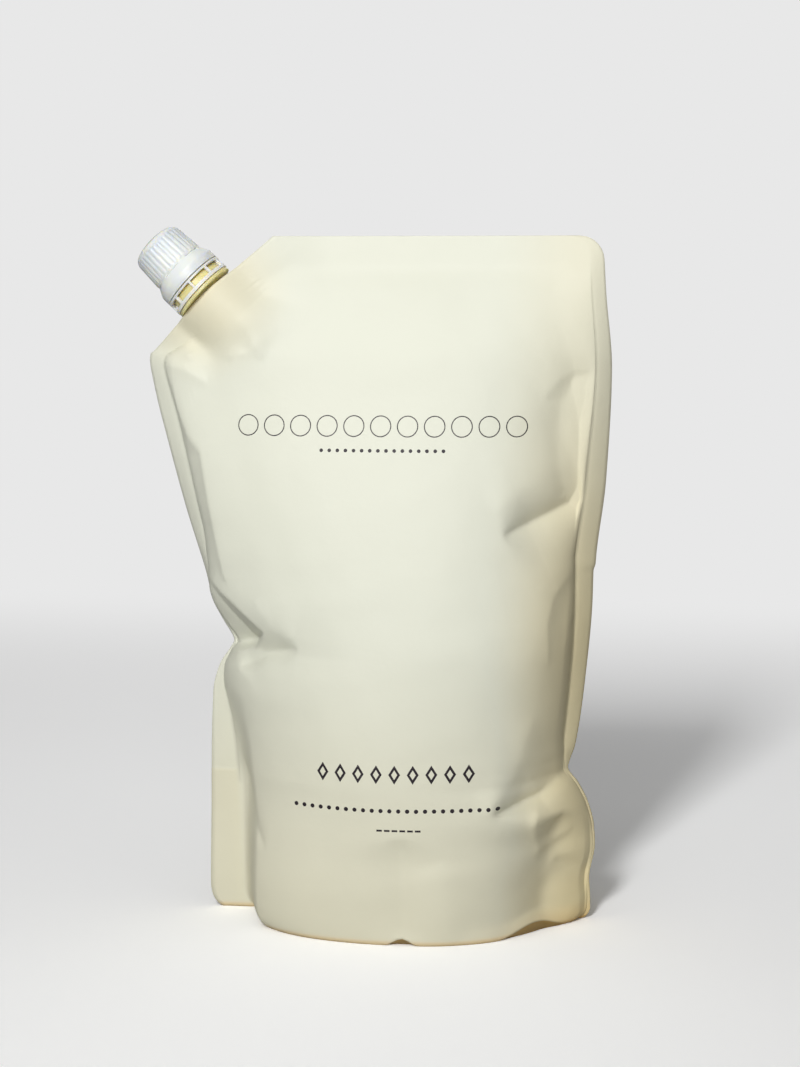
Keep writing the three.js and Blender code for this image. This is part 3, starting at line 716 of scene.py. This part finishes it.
def print_mask(tree):
    """1 on the marks of the print and 0 elsewhere, from the film's own flat coordinates in metres."""
    flat = node(tree, "ShaderNodeUVMap", {"uv_map": "flat_film"}).outputs["UV"]
    split = node(tree, "ShaderNodeSeparateXYZ", links={0: flat})
    mask = None
    for middle, height, count, pitch, size, kind in PRINT_ROWS:
        half_row = pitch * count / 2
        cell = node(tree, "ShaderNodeMapRange", {
            "clamp": False, "From Min": (middle - half_row) * MM, "From Max": (middle + half_row) * MM,
            "To Max": float(count)}, {"Value": split.outputs["X"]})
        folded = node(tree, "ShaderNodeMath", {"operation": "PINGPONG", 1: 0.5}, {0: cell.outputs[0]})
        aside = node(tree, "ShaderNodeMapRange", {
            "From Max": 0.5, "To Min": pitch / 2, "To Max": 0.0}, {"Value": folded.outputs[0]})
        level = node(tree, "ShaderNodeMapRange", {
            "clamp": False, "From Min": height * MM, "From Max": (height + 1) * MM},
            {"Value": split.outputs["Y"]})
        above = node(tree, "ShaderNodeMath", {"operation": "ABSOLUTE"}, {0: level.outputs[0]})
        mark = mark_mask(tree, kind, aside.outputs[0], above.outputs[0], size)
        in_row = node(tree, "ShaderNodeMath", {
            "operation": "COMPARE", 1: count / 2, 2: count / 2}, {0: cell.outputs[0]})
        row = node(tree, "ShaderNodeMath", {"operation": "MULTIPLY"}, {0: mark, 1: in_row.outputs[0]})
        if mask is not None:
            row = node(tree, "ShaderNodeMath", {"operation": "MAXIMUM"}, {0: mask, 1: row.outputs[0]})
        mask = row.outputs[0]
    return mask


def mark_mask(tree, kind, aside, above, size):
    """A ring, a dot, a lozenge or a short dash of that size in mm, from the distances to its middle.

    A mark is where its reach from the middle lies between two values. The reach is the distance for a ring
    or a dot, a weighted sum for a lozenge, and the larger of the two weighted distances for a dash.
    """
    outer = 0.5 * size
    inner = -outer
    if kind == "dash":
        outer, inner = DASH_HALF * size, -DASH_HALF * size
        slim = node(tree, "ShaderNodeMath", {"operation": "MULTIPLY", 1: DASH_SLIM}, {0: above})
        reach = node(tree, "ShaderNodeMath", {"operation": "MAXIMUM"}, {0: aside, 1: slim.outputs[0]})
    elif kind == "lozenge":
        inner = LOZENGE_HOLE * size
        reach = node(tree, "ShaderNodeMath", {"operation": "MULTIPLY_ADD", 1: LOZENGE_SLIM}, {
            0: aside, 2: above})
    else:
        place = node(tree, "ShaderNodeCombineXYZ", links={0: aside, 1: above})
        reach = node(tree, "ShaderNodeVectorMath", {"operation": "LENGTH"}, {0: place.outputs[0]})
    if kind == "ring":
        inner = outer - RING_LINE
    band = node(tree, "ShaderNodeMath", {
        "operation": "COMPARE", 1: (outer + inner) / 2, 2: (outer - inner) / 2}, {0: reach.outputs["Value"]})
    return band.outputs[0]


def moulded(name, base, roughness, depth, glow):
    """Injection-moulded polythene: waxy, lets light in a little way, with a trace of unevenness."""
    material, tree, shader, coords = plain_material(name, Roughness=roughness, IOR=1.51)
    shader.inputs["Base Color"].default_value = base
    shader.inputs["Subsurface Weight"].default_value = glow
    shader.inputs["Subsurface Radius"].default_value = (1.0, 0.8, 0.5)
    shader.inputs["Subsurface Scale"].default_value = depth
    noise = node(tree, "ShaderNodeTexNoise", {"Scale": per_metre(1.11), "Detail": 2.0}, {"Vector": coords})
    skin = node(tree, "ShaderNodeBump", {"Strength": 0.06, "Distance": 0.0001},
                {"Height": noise.outputs["Fac"]})
    tree.links.new(skin.outputs["Normal"], shader.inputs["Normal"])
    return material


def foam_material(colours):
    """Closed-cell polythene foam: matt, with cells about 0.3 mm across."""
    material, tree, shader, coords = plain_material("polythene_foam", Roughness=0.85)
    shader.inputs["Base Color"].default_value = colours.foam
    cells = node(tree, "ShaderNodeTexVoronoi", {"Scale": per_metre(0.3)}, {"Vector": coords})
    pits = node(tree, "ShaderNodeBump", {"Strength": 0.3, "Distance": 0.0002},
                {"Height": cells.outputs["Distance"]})
    tree.links.new(pits.outputs["Normal"], shader.inputs["Normal"])
    return material


# Operators, one for each piece

class REFILL_OT_pouch(bpy.types.Operator):
    """Builds the filled pouch: front and back film, side edges, top edge and folded base."""
    bl_idname = "refill.pouch"
    bl_label = "Film pouch"

    def execute(self, context):
        sizes = context.scene.refill_pouch
        seal_columns = np.linspace(-2, -1, SEAL_COLUMNS)[:-1]
        columns = np.concatenate([seal_columns, np.linspace(-1, 1, BODY_COLUMNS), -seal_columns[::-1]])
        heights = dense_heights(FILM_ROWS, BUSY_HEIGHTS)
        corner = DRAWN_TOP - sizes.corner_radius / MM * CORNER_ROWS
        heights = np.sort(np.concatenate([heights, corner]))
        sheets = [film_sheet(side, columns, heights, sizes) for side in (FRONT, BACK)]
        rows, count = sheets[0][0].shape
        points = np.concatenate([np.stack(sheet, -1).reshape(-1, 3) for sheet in sheets])
        points[:, 1] += seam_sway(points[:, 0], points[:, 2], sizes)
        faces = [quads(rows, count, 0, False), quads(rows, count, rows * count, True)]
        front = np.arange(rows * count).reshape(rows, count)
        back = front + rows * count
        faces.append(np.stack([back[:-1, 0], front[:-1, 0], front[1:, 0], back[1:, 0]], -1))
        faces.append(np.stack([front[:-1, -1], back[:-1, -1], back[1:, -1], front[1:, -1]], -1))
        faces.append(np.stack([front[-1, :-1], front[-1, 1:], back[-1, 1:], back[-1, :-1]], -1))
        base_points, base_faces = base_sheet(
            points[front[0]], points[back[0]], front[0], back[0], len(points))
        points = np.concatenate([points, base_points])
        drawn = points.copy()
        points[:, 2] *= sizes.top / MM / DRAWN_TOP
        laminate = matt_laminate(context.scene.refill_colours)
        piece = mesh_piece("pouch_film", points, faces + base_faces, laminate)
        self.store_flat(piece, drawn, rows, count, sizes)
        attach(piece, "pack")
        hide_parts("pouch")
        return {"FINISHED"}

    def store_flat(self, piece, points, rows, count, sizes):
        """Stores the print's coordinates, the film's warmth with its painted warm shade, and its painted glow
        through the soap.
        """
        x, z = points[:, 0], points[:, 2]
        warmth_and_shade, painted_glow = film_tint(x, z, sizes)
        base = np.arange(len(points)) >= 2 * rows * count
        point_values(piece, "warmth", warmth_and_shade)
        # Painted glow of light through the soap on the base sheet, the hem's edge and the right foot
        point_values(piece, "under", np.where(base, PAINTED_BASE_GLOW, painted_glow))
        flat = piece.data.uv_layers.new(name="flat_film")
        loops = np.empty(len(piece.data.loops), np.int32)
        piece.data.loops.foreach_get("vertex_index", loops)
        on_front = loops < rows * count
        off_print = 10 * POUCH_HIGH[2] / MM
        across = np.where(on_front, x[loops], off_print) * MM
        flat.data.foreach_set("uv", np.stack([across, z[loops] * MM], -1).astype(np.float32).ravel())


def film_tint(x, z, sizes):
    """How warm and how golden each point of the film is painted, both from 0 to 1: warmth with painted warm
    shade, and painted glow.
    """
    left, _, left_seal, _ = film_edges(z, sizes)
    web = (x < left + left_seal) & (z < sizes.gusset_rise / MM)
    spout = 1 - smoothstep(np.hypot(x - SPOUT_FOOT[0], z - SPOUT_FOOT[2]), *SPOUT_GLOW)
    lower = 1 - smoothstep(z, *SHADE_HEIGHT)
    # Painted warm shade on the shaded right side, stronger lower down
    shade = smoothstep(x, *SHADE_X) * (PAINTED_SHADE_WARMTH + PAINTED_LOW_SHADE_WARMTH * lower)
    # Painted warm shade at the right foot
    foot = smoothstep(x, *FOOT_X) * (1 - smoothstep(z, *FOOT_HEIGHT))
    table = TABLE_WARMTH * (1 - smoothstep(z, *TABLE_HEIGHT))
    warmth_and_shade = np.maximum.reduce([WEB_WARMTH * web, SPOUT_WARMTH * spout, shade, foot, table])
    # Painted glow of light through the soap, and painted shade of the underside, at the hem's edge and the
    # right foot
    painted_glow = PAINTED_HEM_GLOW * (1 - smoothstep(z, *HEM_EDGE)) + PAINTED_FOOT_GLOW * foot * (1 - smoothstep(z, *FOOT_EDGE))
    return warmth_and_shade, painted_glow


def dense_heights(count, busy):
    """Heights from the table to the top seam, up to twice as close together around the busy ones."""
    fine = np.linspace(0, DRAWN_TOP, 2000)
    density = 1 + sum(bump(fine - height, BUSY_REACH) for height in busy)
    gathered = np.concatenate([[0], np.cumsum(density[1:] + density[:-1])])
    return np.interp(np.linspace(0, gathered[-1], count), gathered, fine)


def base_sheet(front, back, front_index, back_index, offset):
    """The underside between the two hems: a hem, a groove, and the folded film flat on the table.

    Going in from each hem, the height is a half cosine up to the groove's crown and another down to the
    table, and it is flat between; where the base is narrow the groove shrinks with it.
    """
    stops = np.concatenate([[HEM_WIDTH], np.linspace(1.6, 9.0, 9), np.linspace(12, 30, 5)])
    rows = 2 * len(stops)
    width = back[:, 1] - front[:, 1]
    scale = np.clip(width / FULL_BASE, 0.0, 1.0)
    inner = slice(1, -1)
    points = []
    for row in range(rows):
        from_front = row < len(stops)
        stop = stops[row] if from_front else stops[rows - 1 - row]
        edge = front if from_front else back
        y = edge[:, 1] + np.where(from_front, 1, -1) * stop * scale
        into = np.clip((stop - GROOVE_START) / GROOVE_WIDTH, 0, 1)
        crown = GROOVE_CROWN * np.sin(np.pi * into) ** 2 * scale
        z = np.where(stop <= HEM_WIDTH, edge[:, 2], crown)
        points.append(np.stack([edge[:, 0], y, z], -1)[inner])
    count = len(front)
    index = offset + np.arange(rows * (count - 2)).reshape(rows, count - 2)
    lines = np.concatenate([front_index[None, inner], index, back_index[None, inner]])
    a, b, c, d = lines[:-1, :-1], lines[1:, :-1], lines[1:, 1:], lines[:-1, 1:]
    faces = [np.stack([a, b, c, d], -1).reshape(-1, 4)]
    first, last = front_index[0], front_index[-1]
    faces.append(np.stack([np.full(rows + 1, first), lines[1:, 0], lines[:-1, 0]], -1))
    faces.append(np.stack([np.full(rows + 1, last), lines[:-1, -1], lines[1:, -1]], -1))
    faces.append(np.array([[first, back_index[0], back_index[1]], [last, back_index[-2], back_index[-1]]]))
    return np.concatenate(points), faces


def closure_heights(closure):
    """The heights and radii that the mouldings share, in mm along and from the spout's axis."""
    h = {key: getattr(closure, key) / MM for key in ("window", "band", "ledge", "neck", "groove")}
    h["foot"] = closure.band_foot / MM
    h["cap_foot"] = h["band"] + closure.gap / MM
    h["skirt"] = h["cap_foot"] + closure.skirt / MM
    h["shoulder"] = h["skirt"] + closure.shoulder / MM
    h["liner"] = h["neck"] + closure.seat / MM
    h["liner_top"] = h["liner"] + closure.liner / MM
    h["ceiling"] = h["liner_top"] + closure.seat / MM
    h["top"] = h["ceiling"] + closure.roof / MM
    h["bead"] = h["ledge"] + closure.gap / MM
    h["neck_radius"] = (closure.bore + closure.neck_wall) / MM
    h["cap_bore"] = h["neck_radius"] + (closure.thread + closure.seat) / MM
    h["band_inner"] = (closure.bead + closure.gap) / MM
    h["band_radius"] = h["band_inner"] + closure.band_wall / MM
    return h


# Half the width of a thread's crest and of its foot, and the length over which a thread starts, in mm
CREST_HALF, THREAD_HALF, THREAD_START = 0.35, 0.75, 1.2


def thread_ridge(z, angle, lead, low, high, phase):
    """1 on the crests of a two-start thread and 0 between, faded out at its two ends."""
    turn = (z / lead - angle / (2 * np.pi)) * 2 + phase
    distance = np.abs(turn - np.round(turn)) * lead / 2
    crest = 1 - smoothstep(distance, CREST_HALF, THREAD_HALF)
    started = smoothstep(z, low, low + THREAD_START)
    return crest * started * (1 - smoothstep(z, high - THREAD_START, high))


class REFILL_OT_spout(bpy.types.Operator):
    """Turns the spout: flange, groove, bead, threaded neck and bore, over the boat welded into the film."""
    bl_idname = "refill.spout"
    bl_label = "Spout"

    def execute(self, context):
        closure = context.scene.refill_closure
        h = closure_heights(closure)
        neck, bead, flange = h["neck_radius"], closure.bead / MM, closure.flange / MM
        bore, thread, lead = closure.bore / MM, closure.thread / MM, closure.lead / MM
        groove, flange_top = h["groove"], -closure.seat / MM
        bead_top = h["bead"] + 2.3
        profile = rounded([
            (bore, BOAT_TOP - BOAT_DEPTH, 0.1), (bore + BOAT_WALL * 0.8, BOAT_TOP - BOAT_DEPTH, 0.1),
            (bore + BOAT_WALL * 0.8, BOAT_TOP - 0.5, 0.05), (bore + BOAT_WALL, BOAT_TOP - 0.5, 0.05),
            (bore + BOAT_WALL, FLANGE_FOOT, 0.1), (flange, FLANGE_FOOT, 0.25), (flange, flange_top, 0.25),
            (groove, flange_top, 0.2), (groove, h["bead"], 0.2), (bead, h["bead"], 0.25),
            (bead, bead_top, 0.5),
            (neck, bead_top + 1.4, 0.4), (neck, h["neck"], 0.4), (bore, h["neck"], 0.3),
        ])
        profile = refined(np.concatenate([profile, profile[:1]]), 0.28)[:-1]

        def threaded(r, z, a):
            on_neck = (r > neck - 0.2) & (z > bead_top + 1.2) & (z < h["neck"] - 0.6)
            ridge = thread_ridge(z, a, lead, bead_top + 2.0, h["neck"] - 1.0, 0.0)
            return r + np.where(on_neck, thread * ridge, 0)

        points, faces = revolved(profile, 160, threaded)
        straw = moulded("unpigmented_polythene", context.scene.refill_colours.straw, 0.36, 0.006, 0.8)
        piece = mesh_piece("spout_moulding", on_spout(points), faces, straw)
        facing_out(piece)
        boat = mesh_piece("spout_boat", on_spout(boat_points(bore)), boat_faces(), straw, smooth=False)
        facing_out(boat)
        for each in (piece, boat):
            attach(each, "pack")
            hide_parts("spout")
        return {"FINISHED"}


BOAT_STEPS = 28


def boat_points(bore):
    """The boat's two cheeks as a ring between an outer lens and the bore's tube, at its foot and its top."""
    t = np.linspace(0, 2 * np.pi, BOAT_STEPS * 2, endpoint=False)
    along, middle = np.cos(t), 1e-9
    half = np.maximum((bore + BOAT_WALL) * (1 - along ** 2), BOAT_TIP)
    outer = np.stack([along * BOAT_HALF, np.sign(np.sin(t) + middle) * half], -1)
    inner = np.stack([np.cos(t), np.sin(t)], -1) * (bore + BOAT_TUBE)
    rings = [(outer, BOAT_TOP - BOAT_DEPTH), (outer, BOAT_TOP - 0.05),
             (inner, BOAT_TOP - 0.05), (inner, BOAT_TOP - BOAT_DEPTH)]
    return np.concatenate([np.column_stack([ring, np.full(len(ring), z)]) for ring, z in rings])


def boat_faces():
    """Four walls of the ring, each closed on itself."""
    count = BOAT_STEPS * 2
    index = np.arange(4 * count).reshape(4, count)
    low, high = index, np.roll(index, -1, axis=0)
    low_after, high_after = np.roll(low, -1, axis=1), np.roll(high, -1, axis=1)
    return [np.stack([low, low_after, high_after, high], -1).reshape(-1, 4)]


FIRST_BAR = math.radians(35)


class REFILL_OT_tamper_band(bpy.types.Operator):
    """Builds the tamper band: a ring with a ledge inside, pierced by windows between its bars."""
    bl_idname = "refill.tamper_band"
    bl_label = "Tamper band"

    def execute(self, context):
        closure = context.scene.refill_closure
        h = closure_heights(closure)
        inner, outer = h["band_inner"], h["band_radius"]
        window_top = h["foot"] + h["window"]
        ledge = h["groove"] + closure.gap / MM
        profile = np.array([
            (outer, 0), (outer, h["foot"]), (outer, window_top), (outer, h["band"]), (inner, h["band"]),
            (inner, window_top), (inner, h["foot"]), (inner, h["ledge"]), (ledge, h["ledge"]), (ledge, 0),
        ])
        per_bar = 16
        count = closure.bars * per_bar
        pitch = 2 * math.pi / closure.bars
        bar = closure.bar / MM / outer
        local = np.concatenate([np.linspace(0, pitch - bar, per_bar - 1), [pitch - bar / 2]])
        angles = (np.arange(closure.bars)[:, None] * pitch + local).ravel() + FIRST_BAR
        points = np.stack([
            profile[:, :1] * np.cos(angles), profile[:, :1] * np.sin(angles),
            np.broadcast_to(profile[:, 1:], (len(profile), count))], -1).reshape(-1, 3)
        index = np.arange(len(profile) * count).reshape(len(profile), count)
        after = np.roll(index, -1, axis=1)
        low, high = index, np.roll(index, -1, axis=0)
        wall = np.stack([low, after, np.roll(after, -1, axis=0), high], -1)
        open_cell = (np.arange(count) % per_bar) < per_bar - 2
        outer_row, inner_row = 1, 5
        keep = np.ones(wall.shape[:2], bool)
        keep[outer_row, open_cell] = False
        keep[inner_row, open_cell] = False
        sill = np.stack([index[1], index[6], after[6], after[1]], -1)[open_cell]
        lintel = np.stack([index[2], after[2], after[5], index[5]], -1)[open_cell]
        starts = np.arange(count) % per_bar == 0
        ends = np.arange(count) % per_bar == per_bar - 2
        jamb_a = np.stack([index[1], index[2], index[5], index[6]], -1)[starts]
        jamb_b = np.stack([index[1], index[6], index[5], index[2]], -1)[ends]
        faces = [wall[keep], sill, lintel, jamb_a, jamb_b]
        white = moulded("white_polythene_band", context.scene.refill_colours.white, 0.4, 0.005, 0.8)
        piece = mesh_piece("tamper_band_moulding", on_spout(points), faces, white)
        facing_out(piece)
        bevel = piece.modifiers.new("moulded_edges", "BEVEL")
        bevel.width = 0.12 * MM
        bevel.segments = 2
        bevel.limit_method = "ANGLE"
        bevel.angle_limit = math.radians(40)
        bevel.harden_normals = True
        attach(piece, "pack")
        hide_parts("tamper_band")
        return {"FINISHED"}


class REFILL_OT_cap(bpy.types.Operator):
    """Turns the ribbed cap, with its slits round the shoulder and the thread inside."""
    bl_idname = "refill.cap"
    bl_label = "Screw cap"

    def execute(self, context):
        closure = context.scene.refill_closure
        h = closure_heights(closure)
        bore, outer = h["cap_bore"], h["band_radius"]
        rib = closure.rib / MM
        top_radius = bore + 1.05 - rib
        foot_radius = top_radius + 0.6
        skirt_inner = outer - 1.1
        slit_height, slit_half, slit_edge = h["shoulder"] + 0.1, 0.1, 0.3
        slit_start, slit_end, slit_corner = 0.06, 0.75, 0.03
        profile = rounded([
            (0, h["top"] + 0.6, 0), (5.6, h["top"] + 0.35, 8.0), (top_radius - 0.3, h["top"] - 1.0, 2.6),
            (foot_radius, h["shoulder"] + 0.1, 1.6), (outer, h["skirt"] + 0.2, 1.8),
            (outer, h["cap_foot"], 0.18), (skirt_inner, h["cap_foot"], 0.15),
            (skirt_inner, h["skirt"] - 0.55, 0.4), (bore, h["shoulder"] - 1.1, 0.4),
            (bore, h["ceiling"], 0.3), (0, h["ceiling"], 0),
        ])
        profile = refined(profile, 0.26)
        ribs, thread, lead = closure.ribs, closure.thread / MM, closure.lead / MM

        def shaped(r, z, a):
            outside = r > bore + 0.5
            fade = smoothstep(z, h["shoulder"] + 0.6, h["shoulder"] + 1.6)
            fade = fade * (1 - smoothstep(z, h["top"] - 3.2, h["top"] - 1.8))
            wave = (0.5 + 0.5 * np.cos(ribs * a)) ** 0.7
            r = r + np.where(outside, rib * wave * fade, 0)
            turn = (a / (2 * np.pi) * closure.slits) % 1
            arc = smoothstep(turn, slit_start, slit_start + slit_corner)
            arc = arc * (1 - smoothstep(turn, slit_end - slit_corner, slit_end))
            level = 1 - smoothstep(np.abs(z - slit_height), slit_half, slit_edge)
            cut = closure.slit / MM * arc * level
            r = r - np.where(outside, cut, 0)
            inside = (np.abs(r - bore) < 0.1) & (z < h["ceiling"] - 1.0)
            ridge = thread_ridge(z, a, lead, h["shoulder"] + 0.6, h["ceiling"] - 2.6, 0.5)
            return r - np.where(inside, thread * 0.9 * ridge, 0)

        points, faces = revolved(profile, 12 * ribs, shaped)
        white = moulded("white_polythene_cap", context.scene.refill_colours.white, 0.4, 0.005, 0.8)
        piece = mesh_piece("cap_moulding", on_spout(points), faces, white)
        facing_out(piece)
        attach(piece, "cap")
        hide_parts("cap")
        return {"FINISHED"}


class REFILL_OT_liner(bpy.types.Operator):
    """Cuts the loose foam disc that seals the neck's mouth."""
    bl_idname = "refill.liner"
    bl_label = "Sealing liner"

    def execute(self, context):
        h = closure_heights(context.scene.refill_closure)
        radius = h["neck_radius"] + context.scene.refill_closure.thread / MM
        low, high = h["liner"], h["liner_top"]
        profile = rounded([(0, low, 0), (radius, low, 0.12), (radius, high, 0.12), (0, high, 0)])
        points, faces = revolved(refined(profile, 1.2), 96)
        piece = mesh_piece("foam_liner", on_spout(points), faces, foam_material(context.scene.refill_colours))
        facing_out(piece)
        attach(piece, "liner")
        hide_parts("sealing_liner")
        return {"FINISHED"}


# The wide lamps: the setting of their power, width and height, place in metres and turns in degrees
WIDE_LAMPS = {
    "card_lamp": ("card", (1.2, 0.8), (-0.1, -1.5, 0.3), (83, 0, -4)),
    "overhead_lamp": ("top_light", (1.2, 1.2), (0, -0.25, 1.5), (0, 0, 0)),
    "rear_lamp": ("rear", (1.2, 1.2), (0, 1.6, 1.0), (-61, 0, 0)),
}


class REFILL_OT_stage(bpy.types.Operator):
    """Lays the pale paper sweep and sets the lamps and the camera."""
    bl_idname = "refill.stage"
    bl_label = "Stage"

    def execute(self, context):
        stage = context.scene.refill_stage
        paper = self.sweep(context)
        self.camera(context, stage)
        self.lamps(context, stage, paper)
        return {"FINISHED"}

    def sweep(self, context):
        """Paper that runs back along the table and curves up behind: a line, a quarter circle and a line."""
        turn = np.linspace(0, np.pi / 2, 24)
        radius, back, side, front, wall = 900.0, 1500.0, 4000.0, -3000.0, 3000.0
        y = np.concatenate([[front], back + radius * np.sin(turn), [back + radius]])
        z = np.concatenate([[0], radius - radius * np.cos(turn), [wall]])
        points = np.concatenate([np.stack([np.full_like(y, x), y, z], -1) for x in (-side, side)])
        material = self.paper(context.scene.refill_colours)
        paper = mesh_piece("paper_sweep", points, [quads(2, len(y), 0, True)], material)
        return paper

    def paper(self, colours):
        """Matt paper: bright to the camera, greyer as a reflector, and evenly pale beyond the shadow."""
        material, tree, shader, coords = plain_material("matt_paper_sweep", Roughness=0.9)
        seen = node(tree, "ShaderNodeLightPath").outputs["Is Camera Ray"]
        split = node(tree, "ShaderNodeSeparateXYZ", links={0: coords})
        near, behind = (
            (*(lift * c for c in colours.floor[:3]), 1.0) for lift in (PAPER_LIFT, PAPER_LIFT_BEHIND))
        depth = node(tree, "ShaderNodeMapRange", {
            "interpolation_type": "SMOOTHSTEP", "From Min": PAPER_LIFT_CHANGE[0],
            "From Max": PAPER_LIFT_CHANGE[1]},
            {"Value": split.outputs["Y"]})
        lifted = node(tree, "ShaderNodeMix", {
            "data_type": "RGBA", "clamp_result": False, 6: near, 7: behind}, {0: depth.outputs["Result"]})
        shade = node(tree, "ShaderNodeMix", {
            "data_type": "RGBA", "clamp_result": False, 6: colours.bounce}, {0: seen, 7: lifted.outputs[2]})
        matt = node(tree, "ShaderNodeBsdfDiffuse", links={"Color": shade.outputs[2]})
        far = node(tree, "ShaderNodeMapRange", {
            "interpolation_type": "SMOOTHSTEP", "From Min": PAPER_BACKDROP[0],
            "From Max": PAPER_BACKDROP[1]},
            {"Value": split.outputs["Y"]})
        back = node(tree, "ShaderNodeMath", {"operation": "MULTIPLY"}, {
            0: far.outputs["Result"], 1: seen}).outputs[0]
        glow = node(tree, "ShaderNodeEmission", {"Color": colours.backdrop, "Strength": 1.0})
        mixed = node(tree, "ShaderNodeMixShader", links={0: back, 1: matt.outputs[0], 2: glow.outputs[0]})
        tree.links.new(mixed.outputs[0], tree.nodes["Material Output"].inputs["Surface"])
        tree.nodes.remove(shader)
        return material

    def camera(self, context, stage):
        data = bpy.data.cameras.new("photo_camera")
        data.sensor_fit = "VERTICAL"
        data.sensor_height = 36.0
        data.lens = stage.lens
        camera = bpy.data.objects.new("photo_camera", data)
        azimuth = stage.azimuth
        camera.location = (
            math.sin(azimuth) * stage.distance + math.cos(azimuth) * stage.aside,
            -math.cos(azimuth) * stage.distance + math.sin(azimuth) * stage.aside,
            stage.height,
        )
        camera.rotation_euler = (math.pi / 2 - stage.pitch, 0, azimuth)
        context.collection.objects.link(camera)
        context.scene.camera = camera

    def lamps(self, context, stage, paper):
        """A tall soft lamp in front, a little to the left and above, two weak wide ones and a white sky.

        A wide lamp behind lights the pack's back only, and leaves the paper and its shadow as they are.
        """
        middle = POUCH_HIGH[2] / 2
        reach = stage.lamp_distance * math.cos(stage.lamp_rise)
        key = self.lamp("key_lamp", stage.key, stage.lamp_width, stage.lamp_height, stage.lamp_spread)
        key.location = (
            -math.sin(stage.lamp_turn) * reach,
            -math.cos(stage.lamp_turn) * reach,
            stage.lamp_distance * math.sin(stage.lamp_rise) + middle,
        )
        key.rotation_euler = (math.pi / 2 - stage.lamp_rise + stage.lamp_lift, 0, -stage.lamp_turn)
        for name, (power, size, place, turn) in WIDE_LAMPS.items():
            wide = self.lamp(name, getattr(stage, power), *size)
            wide.location = place
            wide.rotation_euler = [math.radians(angle) for angle in turn]
        spared = bpy.data.collections.new("not_lit_from_behind")
        spared.objects.link(paper)
        spared.collection_objects[0].light_linking.link_state = "EXCLUDE"
        bpy.data.objects["rear_lamp"].light_linking.receiver_collection = spared
        world = bpy.data.worlds.new("even_sky")
        world.use_nodes = True
        world.node_tree.nodes["Background"].inputs["Color"].default_value = (1, 1, 1, 1)
        world.node_tree.nodes["Background"].inputs["Strength"].default_value = stage.fill
        context.scene.world = world
        context.scene.view_settings.view_transform = "Standard"

    def lamp(self, name, power, width, height, spread=math.pi):
        """A rectangular area lamp, still at the origin and facing down."""
        data = bpy.data.lights.new(name, "AREA")
        data.shape = "RECTANGLE"
        data.size = width
        data.size_y = height
        data.energy = power
        data.spread = spread
        lamp = bpy.data.objects.new(name, data)
        bpy.context.collection.objects.link(lamp)
        return lamp


class REFILL_PT_panel(bpy.types.Panel):
    """Lists the sizes, the colours and the build steps."""
    bl_idname = "REFILL_PT_panel"
    bl_label = "Refill Pouch"
    bl_space_type = "VIEW_3D"
    bl_region_type = "UI"
    bl_category = "Refill Pouch"

    def draw(self, context):
        for group in ("refill_pouch", "refill_closure", "refill_colours", "refill_stage"):
            settings = getattr(context.scene, group)
            box = self.layout.box()
            for key in settings.__annotations__:
                box.prop(settings, key)
        for operator in OPERATORS:
            self.layout.operator(operator.bl_idname)


GROUPS = {
    "refill_pouch": RefillPouchSizes,
    "refill_closure": RefillClosureSizes,
    "refill_colours": RefillPackColours,
    "refill_stage": RefillStageSizes,
}
OPERATORS = (
    REFILL_OT_stage, REFILL_OT_pouch, REFILL_OT_spout, REFILL_OT_tamper_band, REFILL_OT_cap, REFILL_OT_liner,
)


def register():
    for group in (*GROUPS.values(), *OPERATORS, REFILL_PT_panel):
        bpy.utils.register_class(group)
    for name, group in GROUPS.items():
        setattr(bpy.types.Scene, name, bpy.props.PointerProperty(type=group))


def unregister():
    for name in GROUPS:
        delattr(bpy.types.Scene, name)
    for group in reversed((*GROUPS.values(), *OPERATORS, REFILL_PT_panel)):
        bpy.utils.unregister_class(group)


def main():
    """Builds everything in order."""
    register()
    for step in ("stage", "pouch", "spout", "tamper_band", "cap", "liner"):
        getattr(bpy.ops.refill, step)()


if __name__ == "__main__":
    main()
